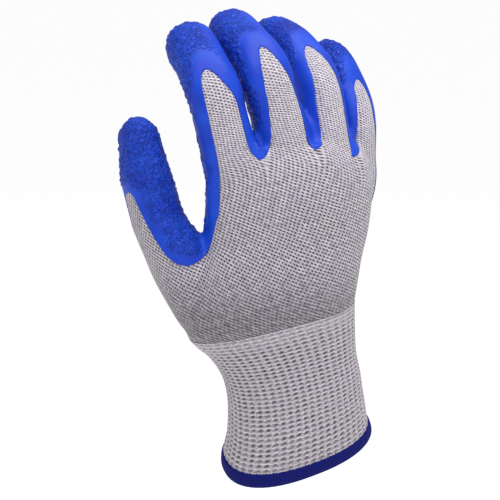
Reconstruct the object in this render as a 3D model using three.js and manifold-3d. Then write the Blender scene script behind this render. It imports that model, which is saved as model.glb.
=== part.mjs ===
// A right-hand work glove in millimetres: a hollow knitted liner with a thumb and four fingers, a ribbed
// knitted cuff, an overlocked hem and a latex coating dipped over the palm, the thumb and the fingers. +Z
// runs up the hand, -Y is the back of the hand, -X is the thumb's side. The origin is the middle of the
// wrist opening. The hand is first made flat with straight fingers, as it is knitted. It is cut there,
// and then every point is carried to the worn form: the hand arched across and each finger curled.

import * as THREE from 'three';
import { mergeVertices } from 'three/addons/utils/BufferGeometryUtils.js';
import Module from 'manifold-3d';

const wasm = await Module();
wasm.setup();

// Driving sizes

const handBreadth = 93; // across the four knuckles, coating left out
const handThickness = 36; // through the palm
const cuffHeight = 64.5; // from the wrist opening to the top of the ribbing, at mid-width
const handHeight = 90; // from the top of the ribbing to the crotch of the middle finger
const fingerLength = 109; // of the longest finger, from its knuckle
const fingerBreadth = 25; // of the broadest finger
const hemHeight = 5.5;
const hemProud = 1.1; // how far the hem's thread stands out of the ribbing, on both faces
const hemOverlap = 3.8; // how far the hem laps over the ribbing's lower end
const knitWall = 1.4;
const cuffWall = 1.8;
const coatWall = 1.1;
const layerGap = 0.3; // between two layers, and at each seam
const ribPitch = 3.9; // one rib of the cuff, measured round the wrist
const ribDepth = 0.7;
const palmCoatStart = 17; // from the top of the ribbing up to the coating's lower edge on the palm
const archRadius = 88; // of the hand's arch, from its middle to the little finger's side
const archStart = -5; // where the arch begins, across the hand
const archLow = 0.4; // the arch fades in from this share of cuffHeight
const archHigh = 0.35; // to this share of handHeight above the ribbing
const handDepth = 7; // of the hand's middle plane in front of the origin
const cutPast = 0.1; // share of height by which a cutting body runs past what it cuts

const radians = THREE.MathUtils.degToRad;
const smooth = (value, from, to) => THREE.MathUtils.smoothstep(value, from, to);
const mix = THREE.MathUtils.lerp;

// The trunk is the cuff and the hand without its fingers. Lengths are shares: along is of cuffHeight
// below 1 and of handHeight above it, across and half are of handBreadth, deep and depth of
// handThickness. Roll turns a section in the palm's plane, and pitch turns it towards the palm, both in
// degrees.
const trunk = [
  { along: 0.0, across: 0.0, half: 0.436, deep: 0.0, depth: 0.74, roll: 18, pitch: 18 },
  { along: 0.1, across: 0.004, half: 0.43, deep: 0.01, depth: 0.73, roll: 16, pitch: 16 },
  { along: 0.21, across: 0.01, half: 0.411, deep: 0.03, depth: 0.71, roll: 14, pitch: 13 },
  { along: 0.33, across: 0.006, half: 0.394, deep: 0.07, depth: 0.685, roll: 12, pitch: 9 },
  { along: 0.48, across: -0.002, half: 0.382, deep: 0.12, depth: 0.665, roll: 10, pitch: 5 },
  { along: 0.64, across: -0.023, half: 0.386, deep: 0.165, depth: 0.65, roll: 9, pitch: 2 },
  { along: 0.82, across: -0.06, half: 0.424, deep: 0.19, depth: 0.635, roll: 9.5, pitch: 1 },
  { along: 1.0, across: -0.113, half: 0.488, deep: 0.194, depth: 0.62, roll: 10, pitch: 0 },
  { along: 1.14, across: -0.117, half: 0.523, deep: 0.194, depth: 0.6, roll: 9, pitch: 0 },
  { along: 1.3, across: -0.072, half: 0.505, deep: 0.194, depth: 0.575, roll: 6, pitch: 0 },
  { along: 1.47, across: -0.012, half: 0.494, deep: 0.194, depth: 0.545, roll: 3, pitch: 0 },
  { along: 1.64, across: 0.016, half: 0.507, deep: 0.194, depth: 0.51, roll: 0, pitch: 0 },
  { along: 1.8, across: 0.028, half: 0.515, deep: 0.194, depth: 0.46, roll: -1, pitch: 0 },
  { along: 1.91, across: 0.031, half: 0.508, deep: 0.194, depth: 0.395, roll: -2, pitch: 0 },
  { along: 1.985, across: 0.031, half: 0.488, deep: 0.194, depth: 0.3, roll: -2, pitch: 0 },
];

// The fingers, straight and fanned out. Root is the middle of the knuckle: across is a share of
// handBreadth and up a share of handHeight above the ribbing. Long is a share of fingerLength, half and
// depth of fingerBreadth. Angles are in degrees: fan is how far the straight finger leans, lean how far the
// worn one does, and bends are those at its knuckle, its middle joint and its end joint.
const fingers = [
  {
    across: -0.349, up: 0.78, long: 0.858, half: 0.5, depth: 0.48,
    fan: -7, lean: -11.4, bends: [8, 35, 20],
  },
  {
    across: -0.05, up: 0.85, long: 0.95, half: 0.49, depth: 0.48,
    fan: -1.5, lean: -15.3, bends: [11, 47, 17],
  },
  {
    across: 0.226, up: 0.76, long: 1, half: 0.45, depth: 0.455,
    fan: 4.5, lean: 2.5, bends: [19, 36, 21],
  },
  {
    across: 0.445, up: 0.65, long: 0.849, half: 0.375, depth: 0.385,
    fan: 12, lean: 12.3, bends: [11, 23, 16],
  },
];
const bendAt = [0.12, 0.5, 0.76]; // where a finger's three bends are, as shares of its length
const bendSpan = 0.11; // half the stretch that each bend takes

// A finger's width along it, as shares of its half width. It starts inside the trunk.
const fingerRows = [
  { along: -0.18, wide: 0.5 },
  { along: -0.03, wide: 0.86 },
  { along: 0.12, wide: 1.0 },
  { along: 0.33, wide: 0.99 },
  { along: 0.5, wide: 0.99 },
  { along: 0.62, wide: 0.96 },
  { along: 0.74, wide: 0.95 },
  { along: 0.86, wide: 0.93 },
];
const tipSteps = 3; // rings of a round end
const tipTurn = 84; // degrees of the round end that those rings cover, before its flat cap

// The thumb, as worn. Across is a share of handBreadth from the origin, up of handHeight above the
// ribbing, and deep, half and depth are shares of handThickness.
const thumb = [
  { across: -0.275, deep: 0.24, up: 0.0, half: 0.59, depth: 0.5 },
  { across: -0.44, deep: 0.36, up: 0.15, half: 0.64, depth: 0.5 },
  { across: -0.575, deep: 0.5, up: 0.3, half: 0.5, depth: 0.46 },
  { across: -0.666, deep: 0.63, up: 0.44, half: 0.39, depth: 0.41 },
  { across: -0.718, deep: 0.74, up: 0.58, half: 0.35, depth: 0.37 },
  { across: -0.748, deep: 0.82, up: 0.72, half: 0.34, depth: 0.355 },
  { across: -0.763, deep: 0.88, up: 0.87, half: 0.33, depth: 0.34 },
  { across: -0.768, deep: 0.92, up: 1.01, half: 0.3, depth: 0.3 },
];
const thumbTip = 11; // length of its round end past the last row

const trunkSides = 28;
const fingerSides = 12;
const hemSides = 32;
const curveSteps = 2; // of an outline, for each row of its table
const squareness = 2.35; // of a section: 2 is an ellipse

// Points and frames

// A point of a rounded section: round the ring from the little finger's side towards the palm.
function sectionPoint(angle, half, depth) {
  const c = Math.cos(angle);
  const s = Math.sin(angle);
  return [
    half * Math.sign(c) * Math.abs(c) ** (2 / squareness),
    depth * Math.sign(s) * Math.abs(s) ** (2 / squareness),
  ];
}

// The trunk's row as millimetres, with its section's two directions.
function trunkFrame(row) {
  const roll = radians(row.roll);
  const pitch = radians(row.pitch);
  return {
    centre: new THREE.Vector3(
      row.across * handBreadth,
      row.deep * handThickness,
      Math.min(row.along, 1) * cuffHeight + Math.max(row.along - 1, 0) * handHeight,
    ),
    side: new THREE.Vector3(Math.cos(roll), 0, Math.sin(roll)),
    front: new THREE.Vector3(0, Math.cos(pitch), Math.sin(pitch)),
    half: row.half * handBreadth,
    depth: row.depth * handThickness,
  };
}

// The trunk's frame at any height share, between the table's rows.
function trunkAt(along) {
  const above = trunk.findIndex((row) => row.along >= along);
  const last = trunk.length - 1;
  const high = above < 0 ? last : Math.max(above, 1);
  const [a, b] = [trunk[high - 1], trunk[high]];
  const t = (along - a.along) / (b.along - a.along);
  const row = { along };
  for (const key of ['across', 'half', 'deep', 'depth', 'roll', 'pitch']) row[key] = mix(a[key], b[key], t);
  return trunkFrame(row);
}

// The points of a section grown outwards by grow. With relief, every second point lies that much deeper.
function ringAt(frame, grow, sides, relief = 0) {
  const ring = [];
  for (let i = 0; i < sides; i += 1) {
    const out = grow - (i % 2) * relief;
    const [x, y] = sectionPoint((2 * Math.PI * i) / sides, frame.half + out, frame.depth + out);
    ring.push(frame.centre.clone().addScaledVector(frame.side, x).addScaledVector(frame.front, y));
  }
  return ring;
}

// A closed body through rings of equal count, its ends closed by fans.
function loft(rings) {
  const sides = rings[0].length;
  const points = rings.flat();
  const faces = [];
  for (let r = 0; r + 1 < rings.length; r += 1) {
    for (let i = 0; i < sides; i += 1) {
      const a = r * sides + i;
      const b = r * sides + ((i + 1) % sides);
      faces.push(a, b, b + sides, a, b + sides, a + sides);
    }
  }
  const ends = [
    [rings[0], 0, true],
    [rings[rings.length - 1], (rings.length - 1) * sides, false],
  ];
  for (const [ring, first, below] of ends) {
    const middle = ring.reduce((sum, p) => sum.add(p), new THREE.Vector3()).divideScalar(sides);
    const hub = points.push(middle) - 1;
    for (let i = 0; i < sides; i += 1) {
      const a = first + i;
      const b = first + ((i + 1) % sides);
      if (below) faces.push(b, a, hub);
      else faces.push(a, b, hub);
    }
  }
  return solidOf(new THREE.BufferGeometry().setFromPoints(points).setIndex(faces));
}

// A closed geometry as a solid that can be cut and joined.
function solidOf(geometry) {
  const bare = geometry.clone();
  bare.deleteAttribute('normal');
  bare.deleteAttribute('uv');
  const merged = mergeVertices(bare, 1e-4);
  return new wasm.Manifold(
    new wasm.Mesh({
      numProp: 3,
      vertProperties: new Float32Array(merged.attributes.position.array),
      triVerts: new Uint32Array(merged.index.array),
    }),
  );
}

const joined = (solids) => solids.reduce((sum, solid) => sum.add(solid));

// The flat hand

function fingerFrame(finger) {
  const fan = radians(finger.fan);
  return {
    length: finger.long * fingerLength,
    half: finger.half * fingerBreadth,
    depth: finger.depth * fingerBreadth,
    root: new THREE.Vector3(finger.across * handBreadth, handDepth, cuffHeight + finger.up * handHeight),
    along: new THREE.Vector3(Math.sin(fan), 0, Math.cos(fan)),
    side: new THREE.Vector3(Math.cos(fan), 0, -Math.sin(fan)),
    front: new THREE.Vector3(0, 1, 0),
  };
}

// Rings up a digit to its round end. Each row holds a ring's middle, directions and half sizes.
function digitRings(rows, tip, grow, sides) {
  const rings = rows.map((row) => ringAt(row, 0, sides));
  const last = rows[rows.length - 1];
  const along = new THREE.Vector3().crossVectors(last.side, last.front).normalize();
  for (let k = 1; k <= tipSteps; k += 1) {
    const turn = radians((k / tipSteps) * tipTurn);
    const frame = {
      ...last,
      centre: last.centre.clone().addScaledVector(along, Math.sin(turn) * (tip + grow)),
      half: last.half * Math.cos(turn),
      depth: last.depth * Math.cos(turn),
    };
    rings.push(ringAt(frame, 0, sides));
  }
  return rings;
}

function fingerBody(finger, grow) {
  const frame = fingerFrame(finger);
  const rows = fingerRows.map((row) => ({
    centre: frame.root.clone().addScaledVector(frame.along, row.along * frame.length),
    side: frame.side,
    front: frame.front,
    half: frame.half * row.wide + grow,
    depth: frame.depth * row.wide + grow,
  }));
  const tip = frame.length * (1 - fingerRows[fingerRows.length - 1].along);
  return loft(digitRings(rows, tip, grow, fingerSides));
}

function thumbRows(grow) {
  const centres = thumb.map(
    (row) =>
      new THREE.Vector3(row.across * handBreadth, row.deep * handThickness, cuffHeight + row.up * handHeight),
  );
  const curve = new THREE.CatmullRomCurve3(centres);
  return thumb.map((row, i) => {
    const along = curve.getTangent(i / (thumb.length - 1));
    const side = new THREE.Vector3().crossVectors(new THREE.Vector3(0, 1, 0), along).normalize();
    const front = new THREE.Vector3().crossVectors(along, side);
    return {
      centre: centres[i],
      side,
      front,
      half: row.half * handThickness + grow,
      depth: row.depth * handThickness + grow,
    };
  });
}

const thumbBody = (grow) => loft(digitRings(thumbRows(grow), thumbTip, grow, fingerSides));

const rowClear = 0.02; // a row of the table nearer than this to a body's end is left out
function trunkBody(from, to, grow, sides = trunkSides, relief = 0) {
  const between = trunk
    .map((row) => row.along)
    .filter((along) => along > from + rowClear && along < to - rowClear);
  const rings = [from, ...between, to].map((along) => ringAt(trunkAt(along), grow, sides, relief));
  return loft(rings);
}

const trunkTop = trunk[trunk.length - 1].along;
const handStart = 1; // the trunk's height share at the top of the ribbing

// The whole hand above one height share of the trunk, grown outwards by grow.
function handBody(grow, from) {
  return joined([
    trunkBody(from, trunkTop + grow / handHeight, grow),
    ...fingers.map((finger) => fingerBody(finger, grow)),
    thumbBody(grow).subtract(belowSection(from)),
  ]);
}

// Everything below the trunk's section at a height share.
function belowSection(along) {
  const frame = trunkAt(along);
  const reach = 3 * handBreadth;
  const down = new THREE.Vector3().crossVectors(frame.side, frame.front).negate();
  const signs = [
    [-1, -1],
    [1, -1],
    [1, 1],
    [-1, 1],
  ];
  const corners = signs.map(([x, y]) =>
    frame.centre
      .clone()
      .addScaledVector(frame.side, x * reach)
      .addScaledVector(frame.front, y * reach),
  );
  const lower = corners.map((p) => p.clone().addScaledVector(down, reach));
  return loft([lower, corners]);
}

const liner = handBody(0, handStart).subtract(handBody(-knitWall, handStart - cutPast));

// The worn form

// Bends a point of the flat hand across, from its middle to the little finger's side.
function arched(p) {
  const over = p.x - archStart;
  if (over <= 0) return p.clone();
  const turn = over / archRadius;
  const radius = archRadius - (p.y - handDepth);
  const bent = new THREE.Vector3(
    archStart + radius * Math.sin(turn),
    handDepth + archRadius - radius * Math.cos(turn),
    p.z,
  );
  const share = smooth(p.z, archLow * cuffHeight, cuffHeight + archHigh * handHeight);
  return bent.lerp(p, 1 - share);
}

// The line that a worn finger follows: its points and directions, in small steps from the knuckle.
const lineSteps = 60;
const lineReach = 1.2; // its length, as a share of the finger's
const leanShare = 0.4; // share of a finger over which it takes up its worn lean
function wornLine(finger) {
  const flat = fingerFrame(finger);
  const turn = Math.max(flat.root.x - archStart, 0) / archRadius;
  const side = new THREE.Vector3(Math.cos(turn), Math.sin(turn), 0);
  const front = new THREE.Vector3(-Math.sin(turn), Math.cos(turn), 0);
  const up = new THREE.Vector3(0, 0, 1);
  const step = (flat.length * lineReach) / lineSteps;
  const at = arched(flat.root);
  const stations = [];
  for (let i = 0; i <= lineSteps; i += 1) {
    const share = (i * step) / flat.length;
    const bend = bendAt.reduce((sum, middle, k) => {
      const done = smooth(share, middle - bendSpan, middle + bendSpan);
      return sum + radians(finger.bends[k]) * done;
    }, 0);
    const lean = mix(radians(finger.fan), radians(finger.lean), smooth(share, 0, leanShare));
    const straight = up.clone().multiplyScalar(Math.cos(lean)).addScaledVector(side, Math.sin(lean));
    const along = straight.clone().multiplyScalar(Math.cos(bend)).addScaledVector(front, Math.sin(bend));
    stations.push({
      centre: at.clone(),
      along,
      side: side.clone().multiplyScalar(Math.cos(lean)).addScaledVector(up, -Math.sin(lean)),
      front: front.clone().multiplyScalar(Math.cos(bend)).addScaledVector(straight, -Math.sin(bend)),
    });
    at.addScaledVector(along, step);
  }
  return { flat, step, stations };
}

const wornLines = fingers.map(wornLine);

// A point's place along and across a straight finger.
function placeOn(line, p) {
  const from = p.clone().sub(line.flat.root);
  return { along: from.dot(line.flat.along), across: from.dot(line.flat.side), deep: from.y };
}

function carried(line, place) {
  const at = THREE.MathUtils.clamp(place.along / line.step, 0, lineSteps);
  const low = Math.min(Math.floor(at), lineSteps - 1);
  const [a, b] = [line.stations[low], line.stations[low + 1]];
  const t = at - low;
  return a.centre
    .clone()
    .lerp(b.centre, t)
    .addScaledVector(a.side.clone().lerp(b.side, t), place.across)
    .addScaledVector(a.front.clone().lerp(b.front, t), place.deep);
}

const wideBlend = 13; // how gradually two fingers share a point between them, at the knuckles
const narrowBlend = 2.2; // and past the crotch
const blendFrom = 8; // above the knuckle, where the one gives way to the other
const blendTo = 34;
const palmBlend = 12; // above the knuckle, over which the palm's form gives way to the finger's
const thumbClear = 18; // from a finger's middle, past which a point belongs to the thumb

// Carries a point of the flat hand to the worn form.
function worn(p) {
  const places = wornLines.map((line) => placeOn(line, p));
  const near = places
    .map((place, i) => ({ i, place, off: Math.abs(place.across) }))
    .sort((a, b) => a.off - b.off);
  const palm = arched(p);
  const [first, second] = near;
  if (first.place.along <= 0 || first.off > thumbClear) return palm;
  const blend = mix(wideBlend, narrowBlend, smooth(first.place.along, blendFrom, blendTo));
  const share = smooth((second.off - first.off) / blend, -1, 1);
  const moved = carried(wornLines[first.i], first.place).multiplyScalar(share);
  const other = second.place.along > 0 ? carried(wornLines[second.i], second.place) : palm;
  moved.addScaledVector(other, 1 - share);
  return palm.lerp(moved, smooth(first.place.along, 0, palmBlend));
}

// The latex coating

// The bare back of the hand, as its edge over the flat hand, from the thumb's side to the little
// finger's. Across is a share of handBreadth and up a share of handHeight above the ribbing.
const thumbSide = [
  { across: -0.475, up: -0.7 },
  { across: -0.48, up: 0.45 },
  { across: -0.478, up: 0.6 },
  { across: -0.465, up: 0.7 },
  { across: -0.463, up: 0.8 },
];
const littleSide = [
  { across: 0.58, up: 0.9 },
  { across: 0.537, up: 0.73 },
  { across: 0.51, up: 0.6 },
  { across: 0.4945, up: 0.5 },
  { across: 0.477, up: 0.4 },
  { across: 0.56, up: 0.33 },
];

// The bare tongue up each finger: across is a share of its half width and along of its length.
const tongues = [
  [
    { across: -0.81, along: 0.17 },
    { across: -0.79, along: 0.38 },
    { across: -0.68, along: 0.53 },
    { across: -0.28, along: 0.587 },
    { across: 0.2, along: 0.515 },
    { across: 0.58, along: 0.43 },
    { across: 0.64, along: 0.2 },
  ],
  [
    { across: -0.9, along: 0.15 },
    { across: -0.66, along: 0.31 },
    { across: -0.43, along: 0.465 },
    { across: 0.08, along: 0.558 },
    { across: 0.6, along: 0.475 },
    { across: 0.86, along: 0.36 },
    { across: 0.86, along: 0.16 },
  ],
  [
    { across: -0.96, along: 0.21 },
    { across: -0.9, along: 0.4 },
    { across: -0.76, along: 0.56 },
    { across: -0.26, along: 0.64 },
    { across: 0.18, along: 0.57 },
    { across: 0.62, along: 0.44 },
    { across: 0.62, along: 0.2 },
  ],
  [
    { across: -1.12, along: 0.28 },
    { across: -0.9, along: 0.49 },
    { across: -0.68, along: 0.62 },
    { across: -0.12, along: 0.663 },
    { across: 0.26, along: 0.58 },
    { across: 0.62, along: 0.38 },
  ],
];

// The bottom of each notch that the coating makes between two tongues.
const notches = [
  { across: -0.235, up: 0.935 },
  { across: 0.07, up: 0.975 },
  { across: 0.297, up: 0.905 },
];

function tonguePoint(finger, across, along) {
  const frame = fingerFrame(finger);
  const p = frame.root
    .clone()
    .addScaledVector(frame.side, across * frame.half)
    .addScaledVector(frame.along, along * frame.length);
  return new THREE.Vector2(p.x, p.z);
}

function bareOutline() {
  const pointOf = (row) => new THREE.Vector2(row.across * handBreadth, cuffHeight + row.up * handHeight);
  const edge = thumbSide.map(pointOf);
  fingers.forEach((finger, i) => {
    edge.push(...tongues[i].map((row) => tonguePoint(finger, row.across, row.along)));
    if (i < notches.length) edge.push(pointOf(notches[i]));
  });
  edge.push(...littleSide.map(pointOf));
  const curve = new THREE.SplineCurve(edge).getPoints(edge.length * curveSteps);
  const beyond = 2 * handBreadth;
  const low = edge[0].y;
  return new THREE.Shape([
    ...curve,
    new THREE.Vector2(beyond, curve[curve.length - 1].y),
    new THREE.Vector2(beyond, low),
  ]);
}

function bareBack() {
  const reach = 2 * handThickness;
  const slab = new THREE.ExtrudeGeometry(bareOutline(), { depth: reach, bevelEnabled: false });
  slab.rotateX(Math.PI / 2); // its outline now lies in the palm's plane, and it reaches towards the back
  slab.translate(0, handDepth, 0);
  return solidOf(slab);
}

// The bare strip down the thumb's back, seen from sightTurn degrees round to the thumb's side. Right is a
// share of handBreadth from the origin, and up a share of handHeight above the ribbing.
const sightTurn = 20;
const stripInward = 0.12; // share of handBreadth by which it runs on past its first row, under the bare back
const thumbStrip = [
  { right: -0.447, up: 0.62 },
  { right: -0.48, up: 0.49 },
  { right: -0.51, up: 0.408 },
  { right: -0.576, up: 0.363 },
  { right: -0.65, up: 0.368 },
  { right: -0.73, up: 0.43 },
  { right: -0.83, up: 0.59 },
  { right: -0.9, up: 0.725 },
  { right: -0.933, up: 0.745 },
  { right: -0.968, up: 0.72 },
];

function bareThumb() {
  const turn = radians(sightTurn);
  const right = new THREE.Vector3(Math.cos(turn), -Math.sin(turn), 0);
  const toEye = new THREE.Vector3(-Math.sin(turn), -Math.cos(turn), 0);
  const beyond = -2 * handBreadth;
  const points = thumbStrip.map(
    (row) => new THREE.Vector2(row.right * handBreadth, cuffHeight + row.up * handHeight),
  );
  const curve = new THREE.SplineCurve(points).getPoints(points.length * curveSteps);
  const inward = points[0].x + stripInward * handBreadth;
  const outline = new THREE.Shape([
    ...curve,
    new THREE.Vector2(beyond, points[points.length - 1].y),
    new THREE.Vector2(beyond, -cuffHeight),
    new THREE.Vector2(inward, -cuffHeight),
    new THREE.Vector2(inward, points[0].y),
  ]);
  const slab = new THREE.ExtrudeGeometry(outline, { depth: 1, bevelEnabled: false });
  const rows = thumbRows(0);
  const position = slab.attributes.position;
  for (let i = 0; i < position.count; i += 1) {
    const [x, z, end] = [position.getX(i), position.getY(i), position.getZ(i)];
    // Its back face follows the middle of the thumb, so that the strip ends at the thumb's side.
    const t = smooth(z, rows[0].centre.z, rows[rows.length - 1].centre.z);
    const middle = rows[0].centre.clone().lerp(rows[rows.length - 1].centre, t).dot(toEye);
    const depth = end > 0.5 ? 3 * handThickness : middle;
    const p = right.clone().multiplyScalar(x).addScaledVector(toEye, depth);
    position.setXYZ(i, p.x, p.y, z);
  }
  return solidOf(slab);
}

const coating = handBody(layerGap + coatWall, handStart)
  .subtract(handBody(layerGap, handStart - cutPast))
  .subtract(belowSection(handStart + palmCoatStart / handHeight))
  .subtract(bareBack())
  .subtract(bareThumb());

// The cuff and its hem

const ribsCounted = trunkAt(0.33); // the height share at which the ribs have their pitch
const wristGirth = 2 * Math.PI * Math.sqrt((ribsCounted.half ** 2 + ribsCounted.depth ** 2) / 2);
const ribCount = Math.round(wristGirth / ribPitch);
const hemShare = hemHeight / cuffHeight;
const seamShare = layerGap / cuffHeight;
const slotFloor = (hemHeight - hemOverlap) / cuffHeight; // of the hem's slot, in which the ribbing's end sits
const hemClear = 1.8 * layerGap; // the hem has fewer sides than the ribbing, so its slot is a little wider

const cuff = trunkBody(slotFloor + seamShare, 1 - seamShare, 0, 2 * ribCount, ribDepth).subtract(
  trunkBody(-cutPast, 1 + cutPast, -cuffWall, hemSides),
);

const hemSlot = trunkBody(slotFloor, hemShare + cutPast, hemClear, hemSides).subtract(
  trunkBody(slotFloor - cutPast, hemShare + 2 * cutPast, -cuffWall - hemClear, hemSides),
);

const hem = trunkBody(0, hemShare, hemProud + hemClear, hemSides)
  .subtract(trunkBody(-cutPast, hemShare + cutPast, -cuffWall - hemProud - hemClear, hemSides))
  .subtract(hemSlot);

// Assembly

const finishes = {
  knit: new THREE.MeshStandardMaterial({ color: 0xb9b2b6, roughness: 0.95, metalness: 0 }),
  ribbing: new THREE.MeshStandardMaterial({ color: 0xb3adb1, roughness: 0.95, metalness: 0 }),
  latex: new THREE.MeshStandardMaterial({ color: 0x1f3fc4, roughness: 0.55, metalness: 0 }),
  thread: new THREE.MeshStandardMaterial({ color: 0x101d75, roughness: 0.8, metalness: 0 }),
};

function meshOf(name, solid, finish) {
  const { numProp, vertProperties, triVerts } = solid.getMesh();
  const points = [];
  for (let i = 0; i < vertProperties.length; i += numProp) {
    points.push(worn(new THREE.Vector3(vertProperties[i], vertProperties[i + 1], vertProperties[i + 2])));
  }
  const geometry = new THREE.BufferGeometry().setFromPoints(points).setIndex([...triVerts]);
  geometry.computeVertexNormals();
  const mesh = new THREE.Mesh(geometry, finish);
  mesh.name = name;
  return mesh;
}

const glove = new THREE.Group();
glove.name = 'grip_glove';
glove.add(
  meshOf('knit_liner', liner, finishes.knit),
  meshOf('rib_cuff', cuff, finishes.ribbing),
  meshOf('hem_overlock', hem, finishes.thread),
  meshOf('latex_coating', coating, finishes.latex),
);

export default glove;
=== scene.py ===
"""Dresses the right-hand grip glove: knitted hand, ribbed cuff, overlocked hem and crinkled latex.

Lengths are in metres in the part's frame: +Z up the hand, -Y out of its back and -X towards the thumb. The
hand is shaped flat first, as it is knitted, and each point is then carried to the worn form.
"""

import logging
import math
from collections.abc import Callable
from dataclasses import dataclass
from enum import Enum
from typing import NamedTuple

import bmesh
import bpy
import numpy as np
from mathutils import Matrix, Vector, noise

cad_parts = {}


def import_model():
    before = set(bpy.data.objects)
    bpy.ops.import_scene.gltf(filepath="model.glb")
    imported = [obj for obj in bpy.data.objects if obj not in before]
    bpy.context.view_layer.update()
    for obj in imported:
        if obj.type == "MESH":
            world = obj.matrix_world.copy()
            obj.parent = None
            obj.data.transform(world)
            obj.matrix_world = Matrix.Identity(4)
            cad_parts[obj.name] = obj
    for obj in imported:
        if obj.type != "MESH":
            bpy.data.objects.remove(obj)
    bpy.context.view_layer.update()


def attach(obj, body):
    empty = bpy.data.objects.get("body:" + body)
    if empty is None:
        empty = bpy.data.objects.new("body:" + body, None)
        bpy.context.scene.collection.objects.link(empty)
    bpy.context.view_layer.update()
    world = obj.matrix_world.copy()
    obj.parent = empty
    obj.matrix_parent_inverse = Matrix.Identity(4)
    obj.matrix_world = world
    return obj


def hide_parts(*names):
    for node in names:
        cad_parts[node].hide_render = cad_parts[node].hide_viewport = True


Array = np.ndarray
Piece = bpy.types.Object
Socket = bpy.types.NodeSocket
Inputs = dict[str | int, object]
Pair = tuple[float, float]
Triple = tuple[float, float, float]
Rgb = tuple[int, int, int]
# A span is where a smooth change starts and ends.
Span = tuple[float, float]

MM = 0.001
TINY = 1e-6
# Points of a grid that lie nearer than this are one point.
MERGED = 0.002 * MM
LOG = logging.getLogger("grip_glove")

# The exponent of a rounded section: 2 would make it an ellipse.
SQUARENESS = 2.35
# The share of the cuff's height where it is narrowest, and the steps in which its girth is measured there.
NARROWEST = 0.33
GIRTH_STEPS = 2880
# With a fixed seed the crinkle has the same folds on each run.
NOISE_SEED = 1


class TrunkRow(NamedTuple):
    """One section of the cuff and palm, in shares of the hand's sizes and in degrees."""

    along: float
    across: float
    half: float
    deep: float
    depth: float
    roll: float
    pitch: float


TRUNK = (
    TrunkRow(0.0, 0.0, 0.436, 0.0, 0.74, 14.5, 18),
    TrunkRow(0.1, -0.006, 0.419, 0.01, 0.73, 13.5, 16),
    TrunkRow(0.21, 0.0, 0.401, 0.03, 0.71, 13, 13),
    TrunkRow(0.33, 0.001, 0.389, 0.07, 0.685, 12, 9),
    TrunkRow(0.48, -0.002, 0.382, 0.12, 0.665, 10, 5),
    TrunkRow(0.64, -0.023, 0.386, 0.165, 0.65, 9, 2),
    TrunkRow(0.82, -0.06, 0.424, 0.19, 0.635, 9.5, 1),
    TrunkRow(1.0, -0.113, 0.488, 0.194, 0.62, 10, 0),
    TrunkRow(1.14, -0.117, 0.523, 0.194, 0.6, 9, 0),
    TrunkRow(1.3, -0.072, 0.505, 0.194, 0.575, 6, 0),
    TrunkRow(1.47, -0.012, 0.494, 0.194, 0.545, 3, 0),
    TrunkRow(1.64, 0.016, 0.507, 0.194, 0.51, 0, 0),
    TrunkRow(1.8, 0.028, 0.515, 0.194, 0.46, -1, 0),
    TrunkRow(1.91, 0.031, 0.508, 0.194, 0.395, -2, 0),
    TrunkRow(1.985, 0.031, 0.488, 0.194, 0.3, -2, 0),
)


class FingerRow(NamedTuple):
    """One finger: its knuckle, its size in shares, how it leans in degrees and its three bends."""

    across: float
    up: float
    long: float
    half: float
    depth: float
    fan: float
    lean: float
    bends: tuple[float, float, float]


FINGERS = (
    FingerRow(-0.349, 0.78, 0.858, 0.5, 0.48, -7, -11.4, (8, 35, 20)),
    FingerRow(-0.05, 0.85, 0.95, 0.49, 0.48, -1.5, -15.3, (11, 47, 17)),
    FingerRow(0.226, 0.76, 1.0, 0.45, 0.455, 4.5, 2.5, (19, 36, 21)),
    FingerRow(0.445, 0.65, 0.849, 0.375, 0.385, 12, 12.3, (11, 23, 16)),
)
BEND_AT = (0.12, 0.5, 0.76)


class WidthRow(NamedTuple):
    """A finger's width at a share of its length, as a share of its half width."""

    along: float
    wide: float


FINGER_WIDTHS = (
    WidthRow(-0.18, 0.5),
    WidthRow(-0.03, 0.86),
    WidthRow(0.12, 1.0),
    WidthRow(0.33, 0.99),
    WidthRow(0.5, 0.99),
    WidthRow(0.62, 0.96),
    WidthRow(0.86, 0.93),
)


class ThumbRow(NamedTuple):
    """One section of the worn thumb, in shares of the hand's sizes."""

    across: float
    deep: float
    up: float
    half: float
    depth: float


THUMB = (
    ThumbRow(-0.275, 0.24, 0.0, 0.59, 0.5),
    ThumbRow(-0.44, 0.36, 0.15, 0.64, 0.5),
    ThumbRow(-0.575, 0.5, 0.3, 0.5, 0.46),
    ThumbRow(-0.666, 0.63, 0.44, 0.39, 0.41),
    ThumbRow(-0.718, 0.74, 0.58, 0.35, 0.37),
    ThumbRow(-0.748, 0.82, 0.72, 0.34, 0.355),
    ThumbRow(-0.772, 0.88, 0.87, 0.31, 0.34),
    ThumbRow(-0.79, 0.92, 1.01, 0.25, 0.29),
)

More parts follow.
